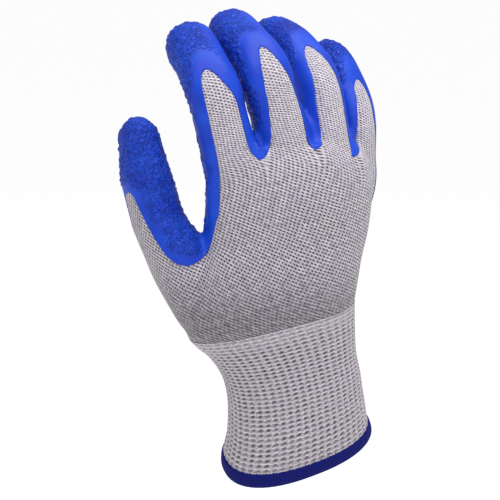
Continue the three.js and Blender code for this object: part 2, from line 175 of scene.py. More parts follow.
# The edge of the latex on the back, in places across in shares of the hand's breadth and up in shares
# of its height above the ribbing. A tongue's places are across in the finger's half widths and along
# in its length. The strip beside the thumb's knit is drawn as it is seen.
THUMB_SIDE = ((-0.475, -0.7), (-0.48, 0.45), (-0.478, 0.6), (-0.465, 0.7), (-0.463, 0.8))
LITTLE_SIDE = ((0.58, 0.9), (0.537, 0.73), (0.51, 0.6), (0.4945, 0.5), (0.477, 0.4), (0.56, 0.33))
NOTCHES = ((-0.235, 0.935), (0.07, 0.975), (0.297, 0.905))
TONGUES = (
    ((-0.81, 0.17), (-0.79, 0.38), (-0.68, 0.53), (-0.28, 0.587), (0.2, 0.515), (0.58, 0.43), (0.64, 0.2)),
    ((-0.9, 0.15), (-0.66, 0.31), (-0.43, 0.465), (0.08, 0.558), (0.6, 0.475), (0.86, 0.36), (0.86, 0.16)),
    ((-0.96, 0.21), (-0.9, 0.4), (-0.76, 0.56), (-0.26, 0.64), (0.18, 0.57), (0.62, 0.44), (0.62, 0.2)),
    ((-1.12, 0.28), (-0.9, 0.49), (-0.68, 0.62), (-0.12, 0.663), (0.26, 0.58), (0.62, 0.38)),
)
THUMB_STRIP = (
    (-0.447, 0.62),
    (-0.48, 0.49),
    (-0.51, 0.408),
    (-0.576, 0.363),
    (-0.65, 0.368),
    (-0.73, 0.43),
    (-0.83, 0.59),
    (-0.9, 0.725),
    (-0.933, 0.745),
    (-0.968, 0.72),
)


class Section(NamedTuple):
    """Sections as arrays: their middles, their two directions and their half sizes."""

    centre: Array
    side: Array
    front: Array
    half: Array
    depth: Array


@dataclass(frozen=True)
class HandSizes:
    """The named sizes that every piece of the glove follows."""

    breadth: float = 93 * MM
    thickness: float = 36 * MM
    cuff_height: float = 64.5 * MM
    cuff_sag: float = 2.2 * MM
    sag_share: float = 0.35
    hand_height: float = 90 * MM
    finger_length: float = 109 * MM
    finger_breadth: float = 25 * MM
    middle_plane: float = 7 * MM
    coat_start: float = 17 * MM
    thumb_tip: float = 12.5 * MM
    arch_radius: float = 88 * MM
    arch_start: float = -5 * MM
    arch_low: float = 0.4
    arch_high: float = 0.35


SIZES = HandSizes()


def smoothstep(value: Array, low: float, high: float) -> Array:
    """Rises smoothly from 0 at low to 1 at high."""
    t = np.clip((value - low) / (high - low), 0, 1)
    return t * t * (3 - 2 * t)


def mix(a: Array, b: Array, share: Array) -> Array:
    """Goes from a to b as share goes from 0 to 1, point by point.

    Args:
        a: Points or numbers.
        b: Points or numbers of the same shape.
        share: One number for each point.

    Returns:
        The mixed points or numbers.
    """
    if a.ndim > share.ndim:
        share = share[:, None]
    return a + (b - a) * share


def through_rows(at: Array, keys: Array, rows: Array) -> Array:
    """Runs a smooth curve through a table.

    Args:
        at: Where the curve is wanted.
        keys: The rows' own places, rising.
        rows: The table, one row for each key.

    Returns:
        One row for each wanted place.
    """
    slopes = np.gradient(rows, keys, axis=0)
    low = np.clip(np.searchsorted(keys, at, side="right") - 1, 0, len(keys) - 2)
    span = (keys[low + 1] - keys[low])[:, None]
    t = (at - keys[low])[:, None] / span
    start = (1 + 2 * t) * (1 - t) ** 2 * rows[low] + t * (1 - t) ** 2 * span * slopes[low]
    end = t**2 * (3 - 2 * t) * rows[low + 1] + t**2 * (t - 1) * span * slopes[low + 1]
    return start + end


def section_point(angle: Array, half: Array, depth: Array) -> tuple[Array, Array]:
    """A rounded section's point at each angle, from the little finger's side towards the palm.

    Args:
        angle: One angle for each point.
        half: The sections' half breadths.
        depth: Their half depths.

    Returns:
        The points' places across and deep.
    """
    power = 2 / SQUARENESS
    c = np.cos(angle)
    s = np.sin(angle)
    return half * np.sign(c) * np.abs(c) ** power, depth * np.sign(s) * np.abs(s) ** power


def on_section(section: Section, angle: Array, grow: Array | float) -> Array:
    """The points of grown sections at each angle.

    Args:
        section: One section for each point.
        angle: One angle for each point.
        grow: How far the sections are grown outwards.

    Returns:
        The points.
    """
    x, y = section_point(angle, section.half + grow, section.depth + grow)
    return section.centre + x[:, None] * section.side + y[:, None] * section.front


def trunk_section(along: Array) -> Section:
    """The cuff's or palm's section at each height share.

    Args:
        along: The shares: 0 at the opening, 1 at the ribbing's top and 2 at the palm's.

    Returns:
        One section for each share.
    """
    table = np.array(TRUNK)
    across, half, deep, depth, roll, pitch = through_rows(along, table[:, 0], table[:, 1:]).T
    height = np.minimum(along, 1) * SIZES.cuff_height + np.maximum(along - 1, 0) * SIZES.hand_height
    height -= SIZES.cuff_sag * (1 - smoothstep(along, 0.0, SIZES.sag_share))
    zero = np.zeros_like(along)
    roll = np.radians(roll)
    pitch = np.radians(pitch)
    return Section(
        np.stack([across * SIZES.breadth, deep * SIZES.thickness, height], axis=1),
        np.stack([np.cos(roll), zero, np.sin(roll)], axis=1),
        np.stack([zero, np.cos(pitch), np.sin(pitch)], axis=1),
        half * SIZES.breadth,
        depth * SIZES.thickness,
    )


@dataclass
class Finger:
    """One finger, straight on the flat hand and bent on the worn one."""

    row: FingerRow
    steps: int = 60
    reach: float = 1.2
    bend_span: float = 0.11
    lean_share: float = 0.4

    def __post_init__(self) -> None:
        """Sets the straight finger's frame and walks the line that the worn one follows."""
        row = self.row
        self.length = row.long * SIZES.finger_length
        self.half = row.half * SIZES.finger_breadth
        self.depth = row.depth * SIZES.finger_breadth
        fan = math.radians(row.fan)
        self.root = np.array(
            [row.across * SIZES.breadth, SIZES.middle_plane, SIZES.cuff_height + row.up * SIZES.hand_height]
        )
        self.along = np.array([math.sin(fan), 0, math.cos(fan)])
        self.side = np.array([math.cos(fan), 0, -math.sin(fan)])
        self.front = np.array([0.0, 1.0, 0.0])
        self.step = self.length * self.reach / self.steps
        self.line = self.walk()

    def walk(self) -> Array:
        """Walks along the worn finger.

        Returns:
            Its stations: a middle, a side and a front direction in each row.
        """
        turn = max(self.root[0] - SIZES.arch_start, 0) / SIZES.arch_radius
        side = np.array([math.cos(turn), math.sin(turn), 0])
        front = np.array([-math.sin(turn), math.cos(turn), 0])
        up = np.array([0.0, 0.0, 1.0])
        at = arched(self.root[None])[0]
        stations = []
        for i in range(self.steps + 1):
            share = i * self.step / self.length
            done = smoothstep(share - np.array(BEND_AT), -self.bend_span, self.bend_span)
            bend = float(np.radians(self.row.bends) @ done)
            leaning = float(smoothstep(np.array(share), 0, self.lean_share))
            lean = math.radians(self.row.fan + (self.row.lean - self.row.fan) * leaning)
            straight = up * math.cos(lean) + side * math.sin(lean)
            over = side * math.cos(lean) - up * math.sin(lean)
            out = front * math.cos(bend) - straight * math.sin(bend)
            stations.append(np.concatenate([at, over, out]))
            at = at + (straight * math.cos(bend) + front * math.sin(bend)) * self.step
        return np.array(stations)

    def place(self, points: Array) -> tuple[Array, Array, Array]:
        """Each point's place along, across and deep on the straight finger."""
        off = points - self.root
        return off @ self.along, off @ self.side, off[:, 1]

    def carried(self, along: Array, across: Array, deep: Array) -> Array:
        """Bends the straight finger.

        Args:
            along: Places along the straight finger.
            across: Places across it.
            deep: Places towards the palm.

        Returns:
            The worn places.
        """
        at = np.clip(along / self.step, 0, self.steps)
        low = np.minimum(at.astype(int), self.steps - 1)
        row = mix(self.line[low], self.line[low + 1], at - low)
        return row[:, 0:3] + row[:, 3:6] * across[:, None] + row[:, 6:9] * deep[:, None]


def arched(points: Array) -> Array:
    """Bends the flat hand across, from its middle to the little finger's side.

    Args:
        points: Points of the flat hand.

    Returns:
        The same points on the arched hand.
    """
    over = points[:, 0] - SIZES.arch_start
    turn = over / SIZES.arch_radius
    radius = SIZES.arch_radius - (points[:, 1] - SIZES.middle_plane)
    bent = points.copy()
    bent[:, 0] = SIZES.arch_start + radius * np.sin(turn)
    bent[:, 1] = SIZES.middle_plane + SIZES.arch_radius - radius * np.cos(turn)
    low = SIZES.arch_low * SIZES.cuff_height
    high = SIZES.cuff_height + SIZES.arch_high * SIZES.hand_height
    share = smoothstep(points[:, 2], low, high) * (over > 0)
    return mix(points, bent, share)


@dataclass
class WornForm:
    """Carries points of the flat hand to the worn form."""

    wide_blend: float = 13 * MM
    narrow_blend: float = 2.2 * MM
    blend_from: float = 8 * MM
    blend_to: float = 34 * MM
    palm_blend: float = 12 * MM
    thumb_clear: float = 18 * MM

    def __post_init__(self) -> None:
        """Makes the four fingers."""
        self.fingers = [Finger(row) for row in FINGERS]

    def nearest(self, points: Array) -> tuple[Array, Array, Array]:
        """The order of the fingers from the nearest one, with each point's places on all four.

        Args:
            points: Points of the flat hand.

        Returns:
            The fingers' order, the places along, and how far off each finger's line the points are.
        """
        places = np.array([finger.place(points) for finger in self.fingers])
        off = np.abs(places[:, 1])
        return np.argsort(off, axis=0), places, off

    def carry(self, points: Array) -> Array:
        """The worn place of each point.

        Args:
            points: Points of the flat hand.

        Returns:
            The same points on the worn hand.
        """
        order, places, off = self.nearest(points)
        index = np.arange(len(points))
        first = order[0]
        second = order[1]
        palm = arched(points)
        moved = np.array([f.carried(*places[i]) for i, f in enumerate(self.fingers)])
        on_first = moved[first, index]
        along_first = places[first, 0, index]
        along_second = places[second, 0, index]
        on_second = np.where((along_second > 0)[:, None], moved[second, index], palm)
        narrowing = smoothstep(along_first, self.blend_from, self.blend_to)
        blend = self.wide_blend + (self.narrow_blend - self.wide_blend) * narrowing
        share = smoothstep((off[second, index] - off[first, index]) / blend, -1, 1)
        finger = mix(on_second, on_first, share)
        rising = smoothstep(along_first, 0, self.palm_blend)
        rising = rising * (along_first > 0) * (off[first, index] <= self.thumb_clear)
        return mix(palm, finger, rising)


def deselect() -> None:
    """Leaves nothing selected."""
    bpy.ops.object.select_all(action="DESELECT")


def choose(*pieces: Piece) -> None:
    """Selects some objects alone, the first of them as the active one.

    Args:
        pieces: The objects.
    """
    deselect()
    for piece in pieces:
        piece.select_set(True)
    bpy.context.view_layer.objects.active = pieces[0]


def edit_faces(piece: Piece, chosen: list[bool], edit: Callable[[], object]) -> None:
    """Edits some faces of a mesh in edit mode.

    Args:
        piece: The mesh's object.
        chosen: Whether each face is edited.
        edit: Works on the selected faces.
    """
    piece.data.polygons.foreach_set("select", chosen)
    choose(piece)
    bpy.ops.object.mode_set(mode="EDIT")
    bpy.ops.mesh.select_mode(type="FACE")
    edit()
    bpy.ops.object.mode_set(mode="OBJECT")


def points_of(piece: Piece, kind: str = "co") -> Array:
    """Reads a vector from each vertex of a mesh.

    Args:
        piece: The mesh's object.
        kind: co for the vertex's place, or normal for its outward direction.

    Returns:
        The vectors, a row each.
    """
    flat = np.empty(len(piece.data.vertices) * 3)
    piece.data.vertices.foreach_get(kind, flat)
    return flat.reshape(-1, 3)


def move_points(piece: Piece, points: Array) -> None:
    """Puts the mesh's vertices in new places."""
    piece.data.vertices.foreach_set("co", points.ravel())
    piece.data.update()


def keep_number(piece: Piece, name: str, values: Array) -> None:
    """Stores one number for each vertex under a name that a material can read."""
    layer = piece.data.attributes.get(name) or piece.data.attributes.new(name, "FLOAT", "POINT")
    layer.data.foreach_set("value", values.astype(np.float32))


def kept_number(piece: Piece, name: str) -> Array:
    """Reads back the numbers that keep_number stored.

    Args:
        piece: The mesh's object.
        name: The numbers' name.

    Returns:
        One number for each vertex.
    """
    values = np.empty(len(piece.data.vertices), np.float32)
    piece.data.attributes[name].data.foreach_get("value", values)
    return values.astype(float)


def keep_map(piece: Piece, name: str, across: Array, up: Array) -> None:
    """Stores a pattern's two coordinates as the piece's only UV map.

    Args:
        piece: The mesh's object.
        name: The map's name.
        across: One number for each vertex.
        up: One more.
    """
    while piece.data.uv_layers:
        piece.data.uv_layers.remove(piece.data.uv_layers[0])
    corners = np.empty(len(piece.data.loops), int)
    piece.data.loops.foreach_get("vertex_index", corners)
    both = np.stack([across, up], axis=1)[corners]
    piece.data.uv_layers.new(name=name).data.foreach_set("uv", both.ravel())


def scale_map(piece: Piece, name: str, across: float, up: float) -> Array:
    """Counts a grid's own UV map in repeats of a pattern.

    Args:
        piece: A piece made by wrapped_grid.
        name: The map's new name.
        across: Repeats over the map's whole width.
        up: Repeats over its whole height.

    Returns:
        The two counts at each corner of the faces.
    """
    layer = piece.data.uv_layers[0]
    layer.name = name
    corners = np.empty(len(piece.data.loops) * 2)
    layer.data.foreach_get("uv", corners)
    both = corners.reshape(-1, 2) * np.array([across, up])
    layer.data.foreach_set("uv", both.ravel())
    return both


def wrapped_grid(name: str, columns: int, rows: int, place: Callable[[Array, Array], Array]) -> Piece:
    """Adds a grid and wraps it into a closed form.

    Args:
        name: The object's name.
        columns: Faces round the form.
        rows: Faces along it.
        place: Gives the points for arrays of shares round and along, both from 0 to 1.

    Returns:
        The new object, its doubled points merged and its faces pointing out.
    """
    deselect()
    bpy.ops.mesh.primitive_grid_add(x_subdivisions=columns, y_subdivisions=rows, size=2)
    piece = bpy.context.object
    piece.name = name
    piece.data.name = name
    shares = (points_of(piece)[:, 0:2] + 1) / 2
    move_points(piece, place(shares[:, 0], shares[:, 1]))
    bpy.ops.object.mode_set(mode="EDIT")
    bpy.ops.mesh.select_all(action="SELECT")
    bpy.ops.mesh.remove_doubles(threshold=MERGED)
    bpy.ops.mesh.normals_make_consistent(inside=False)
    bpy.ops.object.mode_set(mode="OBJECT")
    bpy.ops.object.shade_smooth()
    return piece


def add_modifier(piece: Piece, kind: str, **settings: object) -> None:
    """Adds a modifier and applies it.

    Args:
        piece: The object.
        kind: The modifier's type.
        settings: Its own properties.
    """
    choose(piece)
    bpy.ops.object.modifier_add(type=kind)
    modifier = piece.modifiers[-1]
    for key, value in settings.items():
        setattr(modifier, key, value)
    bpy.ops.object.modifier_apply(modifier=modifier.name)


@dataclass
class FlatHand:
    """The hand as it is knitted: a palm, four straight fingers and the thumb, made one skin."""

    form: WornForm
    start: float = 0.86
    top: float = 1.985
    cap: float = 0.04
    tip: float = 0.72
    digit_faces: tuple[int, int] = (40, 60)
    palm_faces: tuple[int, int] = (96, 70)
    smoothing: int = 5
    uneven: float = 0.5 * MM
    uneven_pitch: float = 15 * MM

    def digit(self, name: str, spine: Callable[[Array], Section], tip: float, grow: float) -> Piece:
        """Adds one finger or thumb with a round end.

        Args:
            name: The object's name.
            spine: Gives the sections for shares from the root to the last table row.
            tip: Length of the round end.
            grow: How far the digit is grown outwards.

        Returns:
            The closed digit.
        """

        def place(around: Array, up: Array) -> Array:
            """Closes the root with a flat cap and the end with a dome.

            Args:
                around: Shares of the girth.
                up: Shares of the length, with the cap and the dome.

            Returns:
                The points.
            """
            body = np.clip((up - self.cap) / (self.tip - self.cap), 0, 1)
            turn = np.clip((up - self.tip) / (1 - self.tip), 0, 1) * math.pi / 2
            shut = np.clip(up / self.cap, 0, 1) * np.cos(turn)
            row = spine(body)
            along = np.cross(row.side, row.front)
            centre = row.centre + along * (np.sin(turn) * (tip + grow))[:, None]
            half = (row.half + grow) * shut
            depth = (row.depth + grow) * shut
            shown = row._replace(centre=centre, half=half, depth=depth)
            return on_section(shown, around * math.tau, 0)

        return wrapped_grid(name, *self.digit_faces, place)

    def finger(self, finger: Finger, grow: float) -> Piece:
        """Adds one straight finger.

        Args:
            finger: The finger.
            grow: How far it is grown outwards.

        Returns:
            The closed finger.
        """
        table = np.array(FINGER_WIDTHS)

        def spine(share: Array) -> Section:
            """The finger's sections.

            Args:
                share: Shares of its length, from 0 at the root to 1 at the last row of widths.

            Returns:
                One section for each share.
            """
            at = table[0, 0] + share * (table[-1, 0] - table[0, 0])
            wide = through_rows(at, table[:, 0], table[:, 1:])[:, 0]
            centre = finger.root + finger.along * (at * finger.length)[:, None]
            return Section(centre, finger.side, finger.front, finger.half * wide, finger.depth * wide)

        return self.digit("finger", spine, finger.length * (1 - table[-1, 0]), grow)

    def thumb(self, grow: float) -> Piece:
        """Adds the thumb."""
        return self.digit("thumb", thumb_section, SIZES.thumb_tip, grow)

    def palm(self, grow: float) -> Piece:
        """Adds the palm with the upper end of the wrist.

        Args:
            grow: How far it is grown outwards.

        Returns:
            The closed palm.
        """

        def place(around: Array, up: Array) -> Array:
            """Closes both ends of the palm with flat caps.

            Args:
                around: Shares of the girth.
                up: Shares of the height, with the caps.

            Returns:
                The points.
            """
            top = self.top + grow / SIZES.hand_height
            along = self.start + np.clip((up - self.cap) / (1 - 2 * self.cap), 0, 1) * (top - self.start)
            shut = np.clip(np.minimum(up, 1 - up) / self.cap, 0, 1)
            row = trunk_section(along)
            shown = row._replace(half=(row.half + grow) * shut, depth=(row.depth + grow) * shut)
            return on_section(shown, around * math.tau, 0)

        return wrapped_grid("palm", *self.palm_faces, place)

    def skin(self, name: str, grow: float, voxel: float) -> Piece:
        """Joins palm, fingers and thumb into one smooth skin, cut open at the wrist.

        Args:
            name: The skin's name.
            grow: How far it stands off the knit's outer face.
            voxel: The size of its faces.

        Returns:
            The open skin, its faces pointing out.
        """
        parts = [self.palm(grow), self.thumb(grow)] + [self.finger(f, grow) for f in self.form.fingers]
        choose(*parts)
        bpy.ops.object.join()
        skin = bpy.context.object
        skin.name = name
        skin.data.name = name
        add_modifier(skin, "REMESH", mode="VOXEL", voxel_size=voxel, use_smooth_shade=True)
        add_modifier(skin, "SMOOTH", factor=0.5, iterations=self.smoothing)
        points = points_of(skin)
        uneven = np.array([noise.noise(Vector(p) / self.uneven_pitch) for p in points])
        move_points(skin, points + points_of(skin, "normal") * (uneven * self.uneven)[:, None])
        wrist = trunk_section(np.array([1.0]))
        choose(skin)
        bpy.ops.object.mode_set(mode="EDIT")
        bpy.ops.mesh.select_all(action="SELECT")
        up = np.cross(wrist.side[0], wrist.front[0])
        bpy.ops.mesh.bisect(plane_co=wrist.centre[0], plane_no=up, clear_inner=True)
        bpy.ops.object.mode_set(mode="OBJECT")
        return skin


def thumb_section(share: Array) -> Section:
    """The thumb's section at each share of its length.

    Args:
        share: The shares, from 0 at the root to 1 at the table's last row.

    Returns:
        One section for each share.
    """
    table = np.array(THUMB)
    keys = np.arange(len(table), dtype=float)
    scale = np.array([SIZES.breadth, SIZES.thickness, SIZES.hand_height, SIZES.thickness, SIZES.thickness])
    rows = table * scale
    rows[:, 2] += SIZES.cuff_height
    at = share * keys[-1]
    row = through_rows(at, keys, rows)
    ahead = through_rows(at + 0.01, keys, rows)[:, 0:3] - through_rows(at - 0.01, keys, rows)[:, 0:3]
    along = ahead / np.linalg.norm(ahead, axis=1)[:, None]
    side = np.cross(np.array([0.0, 1.0, 0.0]), along)
    side /= np.linalg.norm(side, axis=1)[:, None]
    return Section(row[:, 0:3], side, np.cross(along, side), row[:, 3], row[:, 4])


def spline(points: list[Pair], steps: int = 6) -> Array:
    """Draws a smooth open line through points in a plane.

    Args:
        points: The points.
        steps: Corners of the line from one point to the next.

    Returns:
        The line's corners.
    """
    rows = np.array(points)
    padded = np.vstack([rows[0], rows, rows[-1]])
    t = np.linspace(0, 1, steps, endpoint=False)[:, None]
    line = []
    for a, b, c, d in zip(padded, padded[1:], padded[2:], padded[3:]):
        start = (c - a) / 2
        end = (d - b) / 2
        cube = (2 * b - 2 * c + start + end) * t**3
        line.append(cube + (3 * c - 3 * b - 2 * start - end) * t**2 + start * t + b)
    return np.vstack([*line, rows[-1:]])


def outline_distance(at: Array, outline: Array) -> Array:
    """How far points lie outside a closed outline in a plane, below 0 inside it.

    Args:
        at: The points, two numbers each.
        outline: The outline's corners.

    Returns:
        One distance for each point.
    """
    nearest = np.full(len(at), np.inf)
    inside = np.zeros(len(at), bool)
    for a, b in zip(outline, np.roll(outline, -1, axis=0)):
        edge = b - a
        t = np.clip(((at - a) @ edge) / max(edge @ edge, 1e-18), 0, 1)
        gap = at - a - t[:, None] * edge
        nearest = np.minimum(nearest, (gap**2).sum(axis=1))
        if a[1] != b[1]:
            crossing = (at[:, 1] < a[1]) != (at[:, 1] < b[1])
            x = a[0] + (at[:, 1] - a[1]) / (b[1] - a[1]) * edge[0]
            inside ^= crossing & (at[:, 0] < x)
    return np.sqrt(nearest) * np.where(inside, -1, 1)


def round_corner(a: Array, b: Array, size: float) -> Array:
    """The larger of two distances, rounded where they are nearly equal."""
    return np.maximum(a, b) + np.maximum(size - np.abs(a - b), 0) ** 2 / (4 * size)


@dataclass
class CoatEdge:
    """Where the latex ends: a field that is above 0 on the coating and below 0 on the bare knit."""

    form: WornForm
    sight_turn: float = math.radians(20)
    strip_inward: float = 0.12
    corner: float = 9 * MM
    hidden_run: float = 7 * MM
    hidden_from: float = 92 * MM
    hidden_to: float = 118 * MM
    ragged: float = 0.22 * MM
    ragged_pitch: float = 1.5 * MM

    def __post_init__(self) -> None:
        """Draws the two outlines of bare knit."""
        self.back = self.back_outline()
        strip = spline([self.height_point(row) for row in THUMB_STRIP])
        inward = strip[0, 0] + self.strip_inward * SIZES.breadth
        beyond = -2 * SIZES.breadth
        low = -SIZES.cuff_height
        rest = [(beyond, strip[-1, 1]), (beyond, low), (inward, low), (inward, strip[0, 1])]
        self.strip = np.vstack([strip, rest])

    def height_point(self, row: Pair) -> Pair:
        """A table row as a place across and up."""
        return row[0] * SIZES.breadth, SIZES.cuff_height + row[1] * SIZES.hand_height

    def back_outline(self) -> Array:
        """Draws the bare back over the flat hand.

        Returns:
            The outline's corners, across and up.
        """
        edge = [self.height_point(row) for row in THUMB_SIDE]
        for i, finger in enumerate(self.form.fingers):
            for across, along in TONGUES[i]:
                p = finger.root + finger.side * across * finger.half
                p = p + finger.along * along * finger.length
                edge.append((p[0], p[2]))
            if i < len(NOTCHES):
                edge.append(self.height_point(NOTCHES[i]))
        edge.extend(self.height_point(row) for row in LITTLE_SIDE)
        line = spline(edge)
        beyond = 2 * SIZES.breadth
        return np.vstack([line, [(beyond, line[-1, 1]), (beyond, line[0, 1])]])

    def value(self, points: Array) -> Array:
        """The field, about as large as the distance from the latex's edge.

        Args:
            points: Points of the flat hand.

        Returns:
            One number for each point.
        """
        back = np.maximum(outline_distance(points[:, [0, 2]], self.back), points[:, 1] - SIZES.middle_plane)
        turn = self.sight_turn
        right = points @ np.array([math.cos(turn), -math.sin(turn), 0])
        sight = np.array([-math.sin(turn), -math.cos(turn), 0])
        ends = thumb_section(np.array([0.0, 1.0])).centre
        rise = smoothstep(points[:, 2], ends[0, 2], ends[1, 2])
        middle = mix(ends[:1], ends[1:], rise) @ sight
        behind = self.hidden_run * (1 - smoothstep(points[:, 2], self.hidden_from, self.hidden_to))
        in_sight = outline_distance(np.stack([right, points[:, 2]], axis=1), self.strip)
        strip = round_corner(in_sight, middle - points @ sight - behind, self.corner)
        low = trunk_section(np.array([1 + SIZES.coat_start / SIZES.hand_height]))
        palm = (points - low.centre[0]) @ np.cross(low.side[0], low.front[0])
        wave = np.array([noise.noise(Vector(p) / self.ragged_pitch) for p in points])
        return np.minimum(np.minimum(back, strip), palm) + self.ragged * wave


@dataclass
class StitchMap:
    """The knit's own coordinates on the flat hand: stitches across and rows up, counted a metre.

    Each pair of counts is for the girth and for the height, or for across and along a finger.
    """

    form: WornForm
    palm_across: Pair = (461.6, -94.8)
    palm_up: Pair = (256.0, 632.0)
    finger_across: Pair = (560.0, 0.0)
    finger_up: Pair = (270.0, 830.0)
    palm_slant: float = 0.4
    finger_slant: float = -0.4
    palm_half: float = 46 * MM
    palm_depth: float = 19 * MM
    girth_steps: int = 1440
    table_steps: int = 400
    thumb_start: Pair = (-33 * MM, -4 * MM)
    thumb_slope: Pair = (0.8, 0.95)
    thumb_out: Span = (30 * MM, 48 * MM)
    thumb_rise: Span = (-4 * MM, 30 * MM)
    index_clear: Pair = (18 * MM, 6 * MM)
    index_root: Span = (28 * MM, 48 * MM)
    index_rise: Span = (62 * MM, 92 * MM)
    finger_blend: float = 26 * MM
    round_side: float = 0.25
    web_blend: float = 2.5 * MM

    def __post_init__(self) -> None:
        """Measures the girth round the palm and fits whole stitches and rows into it."""
        self.angles = np.linspace(-1.5 * math.pi, 0.5 * math.pi, self.girth_steps + 1)
        half = np.full_like(self.angles, self.palm_half)
        depth = np.full_like(self.angles, self.palm_depth)
        ring = np.stack(section_point(self.angles, half, depth), axis=1)
        steps = np.concatenate([[0], np.cumsum(np.linalg.norm(np.diff(ring, axis=0), axis=1))])
        whole = steps[-1]
        self.girths = steps - whole / 2
        self.stitches = round(self.palm_across[0] * whole) / whole
        self.rows = round(self.palm_up[0] * whole) / whole

    def round_palm(self, points: Array) -> Array:
        """Measures girths from the back's middle, with the join in the middle of the palm.

        Args:
            points: Points of the flat hand.

        Returns:
            One girth for each point.
        """
        rows = trunk_section(np.linspace(0.8, 2.0, self.table_steps))
        columns = (*rows.centre[:, 0:2].T, rows.half, rows.depth)
        at = [np.interp(points[:, 2], rows.centre[:, 2], column) for column in columns]
        x = (points[:, 0] - at[0]) / at[2]
        y = (points[:, 1] - at[1]) / at[3]
        power = SQUARENESS / 2
        angle = np.arctan2(np.sign(y) * np.abs(y) ** power, np.sign(x) * np.abs(x) ** power)
        from_join = (angle - self.angles[0]) % math.tau + self.angles[0]
        return np.interp(from_join, self.angles, self.girths)

    def on_thumb(self, points: Array) -> Array:
        """How far each point belongs to the thumb's knit.

        Args:
            points: Points of the flat hand.

        Returns:
            One number for each point, 0 on the palm and the fingers.
        """
        up = points[:, 2] - SIZES.cuff_height
        beside = self.index_clear[0] * smoothstep(up, *self.index_root)
        beside += self.index_clear[1] * smoothstep(up, *self.index_rise)
        return smoothstep(-points[:, 0] - beside, *self.thumb_out) * smoothstep(up, *self.thumb_rise)

    def coordinates(self, points: Array) -> tuple[Array, Array, Array]:
        """The knit's own place at each point.

        Args:
            points: Points of the flat hand.

        Returns:
            The stitch number, the row number and the slant of the stitches.
        """
        start = self.thumb_start
        thumb_girth = start[0] + (points[:, 0] - start[0]) * self.thumb_slope[0]
        thumb_girth -= (points[:, 1] - start[1]) * self.thumb_slope[1]
        on_thumb = self.on_thumb(points)
        girth = mix(self.round_palm(points), thumb_girth, on_thumb)
        across = girth * self.stitches + points[:, 2] * self.palm_across[1]
        up = girth * self.rows + points[:, 2] * self.palm_up[1]
        places = np.array([finger.place(points) for finger in self.form.fingers])
        near = np.exp(-np.abs(places[:, 1]) / self.web_blend)
        near /= near.sum(axis=0)
        counts = ((across, self.palm_across, self.finger_across), (up, self.palm_up, self.finger_up))
        whole = (across.copy(), up.copy())
        slant = np.full(len(points), self.palm_slant)
        for i, finger in enumerate(self.form.fingers):
            along, side, _deep = places[i]
            turn = side * (1 + self.round_side * (side / finger.half) ** 2)
            share = smoothstep(along, 0, self.finger_blend) * near[i] * (1 - on_thumb)
            for (number, palm, own), before in zip(counts, whole):
                root = finger.root[0] * palm[0] + finger.root[2] * palm[1]
                number += (root + turn * own[0] + along * own[1] - before) * share
            slant += (self.finger_slant - self.palm_slant) * share
        return across, up, slant


